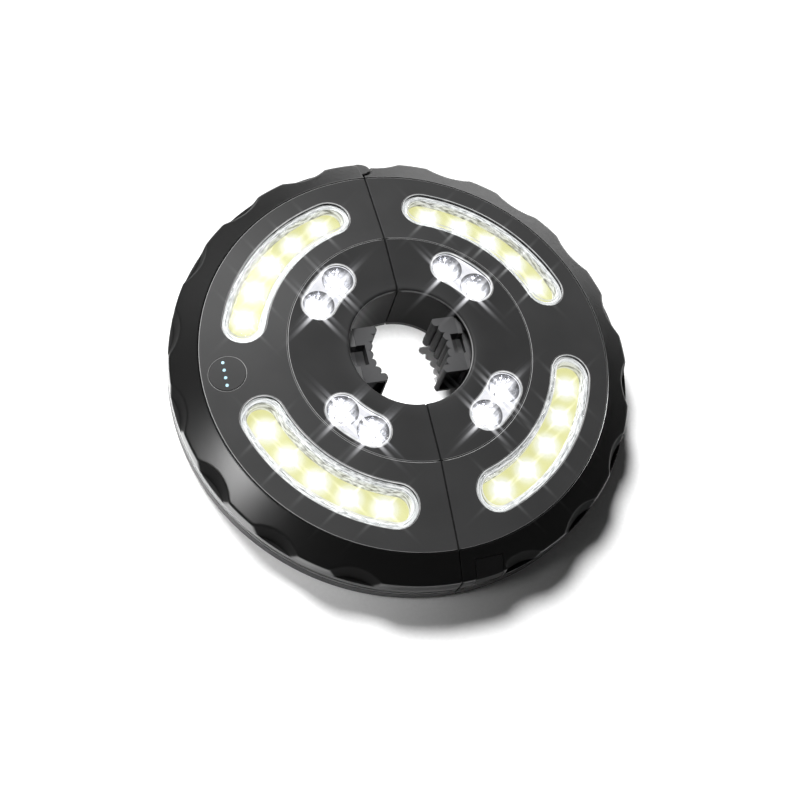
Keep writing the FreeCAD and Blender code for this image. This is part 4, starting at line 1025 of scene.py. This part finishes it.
def spot_domes(name, azimuth, body):
    """The board under the spots, with a domed LED in each cup."""
    shape, rows = swept_slot(azimuth, SPOT_ORBIT, SPOT_HALF, SPOT_SPAN, [(-1.0, -1.4), (-1.0, 0.0)],
                             level(SPOT_BOARD_TOP))
    holes = []
    for cx, cy in spot_centres(azimuth):
        rings = []
        for tier in range(DOME_LEVELS):
            climb = math.radians(90 * tier / DOME_LEVELS)
            loop = circle_loop(cx, cy, DOME_R * math.cos(climb), 0)
            rings.append(shape.add(lift(loop, level(SPOT_BOARD_TOP + DOME_RISE * math.sin(climb)))))
        for a, b in zip(rings, rings[1:]):
            shape.bridge(a, b)
        holes.append(rings[0])
        shape.faces.append(tuple(rings[-1]))
    shape.fill([rows[-1]] + holes)
    shape.fill([rows[0]])
    piece(f"{name}_spot_leds", shape, body, "board_white", f"{name}_spot_board",
          values={"hot": lambda x, y, z: smooth(z - SPOT_BOARD_TOP - 0.1),
                  "core": lambda x, y, z: smooth((z - SPOT_BOARD_TOP - DOME_RISE + 0.2) / 0.12)})


for name, azimuth in QUADRANTS.items():
    half = f"{name.split('_')[1]}_half"
    for make in (lamp_cover, lamp_tray, lamp_strip, spot_cover, spot_cups, spot_domes):
        make(name, azimuth, half)


# ---------------------------------------------------------------- stage, light and camera

def stage_floor():
    """A pale floor under the light."""
    bpy.ops.mesh.primitive_plane_add(size=6.0, location=(0, 0, 0))
    floor = bpy.context.object
    floor.name = "floor"
    material, nodes, links, shader = new_material("floor_white")
    paper = noise(nodes, links, 700.0, 3.0)
    links.new(ramp(nodes, links, paper, [(0.3, 0.9), (0.7, 0.94)]), shader.inputs["Base Color"])
    shader.inputs["Roughness"].default_value = 0.9
    shader.inputs["Specular IOR Level"].default_value = 0.0
    floor.data.materials.append(material)


def aim(data, name, where, towards):
    """Place a lamp and point it."""
    light = bpy.data.objects.new(name, data)
    light.location = where
    light.rotation_euler = (Vector(towards) - Vector(where)).to_track_quat("-Z", "Y").to_euler()
    bpy.context.collection.objects.link(light)
    return light


def key_light():
    """A broad, even key from behind and above, which throws the shadow forward."""
    data = bpy.data.lights.new("key", "SUN")
    data.energy = 6.2
    data.angle = math.radians(22.0)
    aim(data, "key", (-0.3, 0.95, 1.0), (0, 0, 0))


def well_light():
    """A narrow lamp straight above the pole hole, which lights the floor seen through it."""
    data = bpy.data.lights.new("well", "SPOT")
    data.energy = 52.0
    data.spot_size = math.radians(2.9)
    data.spot_blend = 0.1
    data.shadow_soft_size = 0.01
    aim(data, "well", (0.0, 0.0, 1.0), (0.0, 0.0, 0.0))


def side_box():
    """A softbox with a grid, near the camera, mirrored by the shoulder at the lower left."""
    data = bpy.data.lights.new("side_box", "AREA")
    data.energy = 0.04
    data.shape = "RECTANGLE"
    data.size, data.size_y = 0.2, 0.09
    data.spread = math.radians(28.0)
    aim(data, "side_box", (-0.265, -0.035, 0.262), (-0.09, -0.034, 0.02)).visible_camera = False


def glare(tree, image, kind, settings):
    """An image with one kind of glare round its brightest spots."""
    node = tree.nodes.new("CompositorNodeGlare")
    node.glare_type = kind
    node.quality = "HIGH"
    node.inputs["Clamp"].default_value = True
    for key, value in settings.items():
        node.inputs[key].default_value = value
    tree.links.new(image, node.inputs["Image"])
    return node.outputs["Image"]


def make_glow():
    """Star flares and a soft bloom round the brightest LEDs."""
    scene = bpy.context.scene
    scene.use_nodes = True
    tree = scene.node_tree
    tree.nodes.clear()
    layers = tree.nodes.new("CompositorNodeRLayers")
    stars = glare(tree, layers.outputs["Image"], "STREAKS",
                  {"Threshold": 8.0, "Maximum": 60.0, "Strength": 0.3, "Streaks": 4,
                   "Streaks Angle": math.radians(45.0), "Iterations": 3, "Fade": 0.88,
                   "Color Modulation": 0.0})
    bloom = glare(tree, stars, "FOG_GLOW",
                  {"Threshold": 4.0, "Maximum": 14.0, "Strength": 0.1, "Size": 0.1})
    out = tree.nodes.new("CompositorNodeComposite")
    tree.links.new(bloom, out.inputs["Image"])


def make_camera():
    """The photograph's viewpoint, recovered from the object's own circles."""
    data = bpy.data.cameras.new("camera")
    data.sensor_width = 36.0
    data.lens = 53.57
    data.clip_start = 0.01
    camera = bpy.data.objects.new("camera", data)
    camera.location = (-0.13578, -0.19948, 0.46642)
    camera.rotation_euler = [math.radians(angle) for angle in (24.293, -10.639, -13.172)]
    bpy.context.collection.objects.link(camera)
    bpy.context.scene.camera = camera


def make_world():
    """A dim surround that looks white behind the object."""
    world = bpy.data.worlds.new("world")
    world.use_nodes = True
    nodes, links = world.node_tree.nodes, world.node_tree.links
    background = nodes["Background"]
    background.inputs["Color"].default_value = (1, 1, 1, 1)
    seen = nodes.new("ShaderNodeMapRange")
    seen.inputs["To Min"].default_value = 0.04
    seen.inputs["To Max"].default_value = 1.0
    links.new(nodes.new("ShaderNodeLightPath").outputs["Is Camera Ray"], seen.inputs["Value"])
    links.new(seen.outputs["Result"], background.inputs["Strength"])
    bpy.context.scene.world = world


stage_floor()
make_world()
key_light()
well_light()
side_box()
make_glow()
make_camera()
scene = bpy.context.scene
scene.view_settings.view_transform = "Standard"
scene.cycles.use_denoising = True
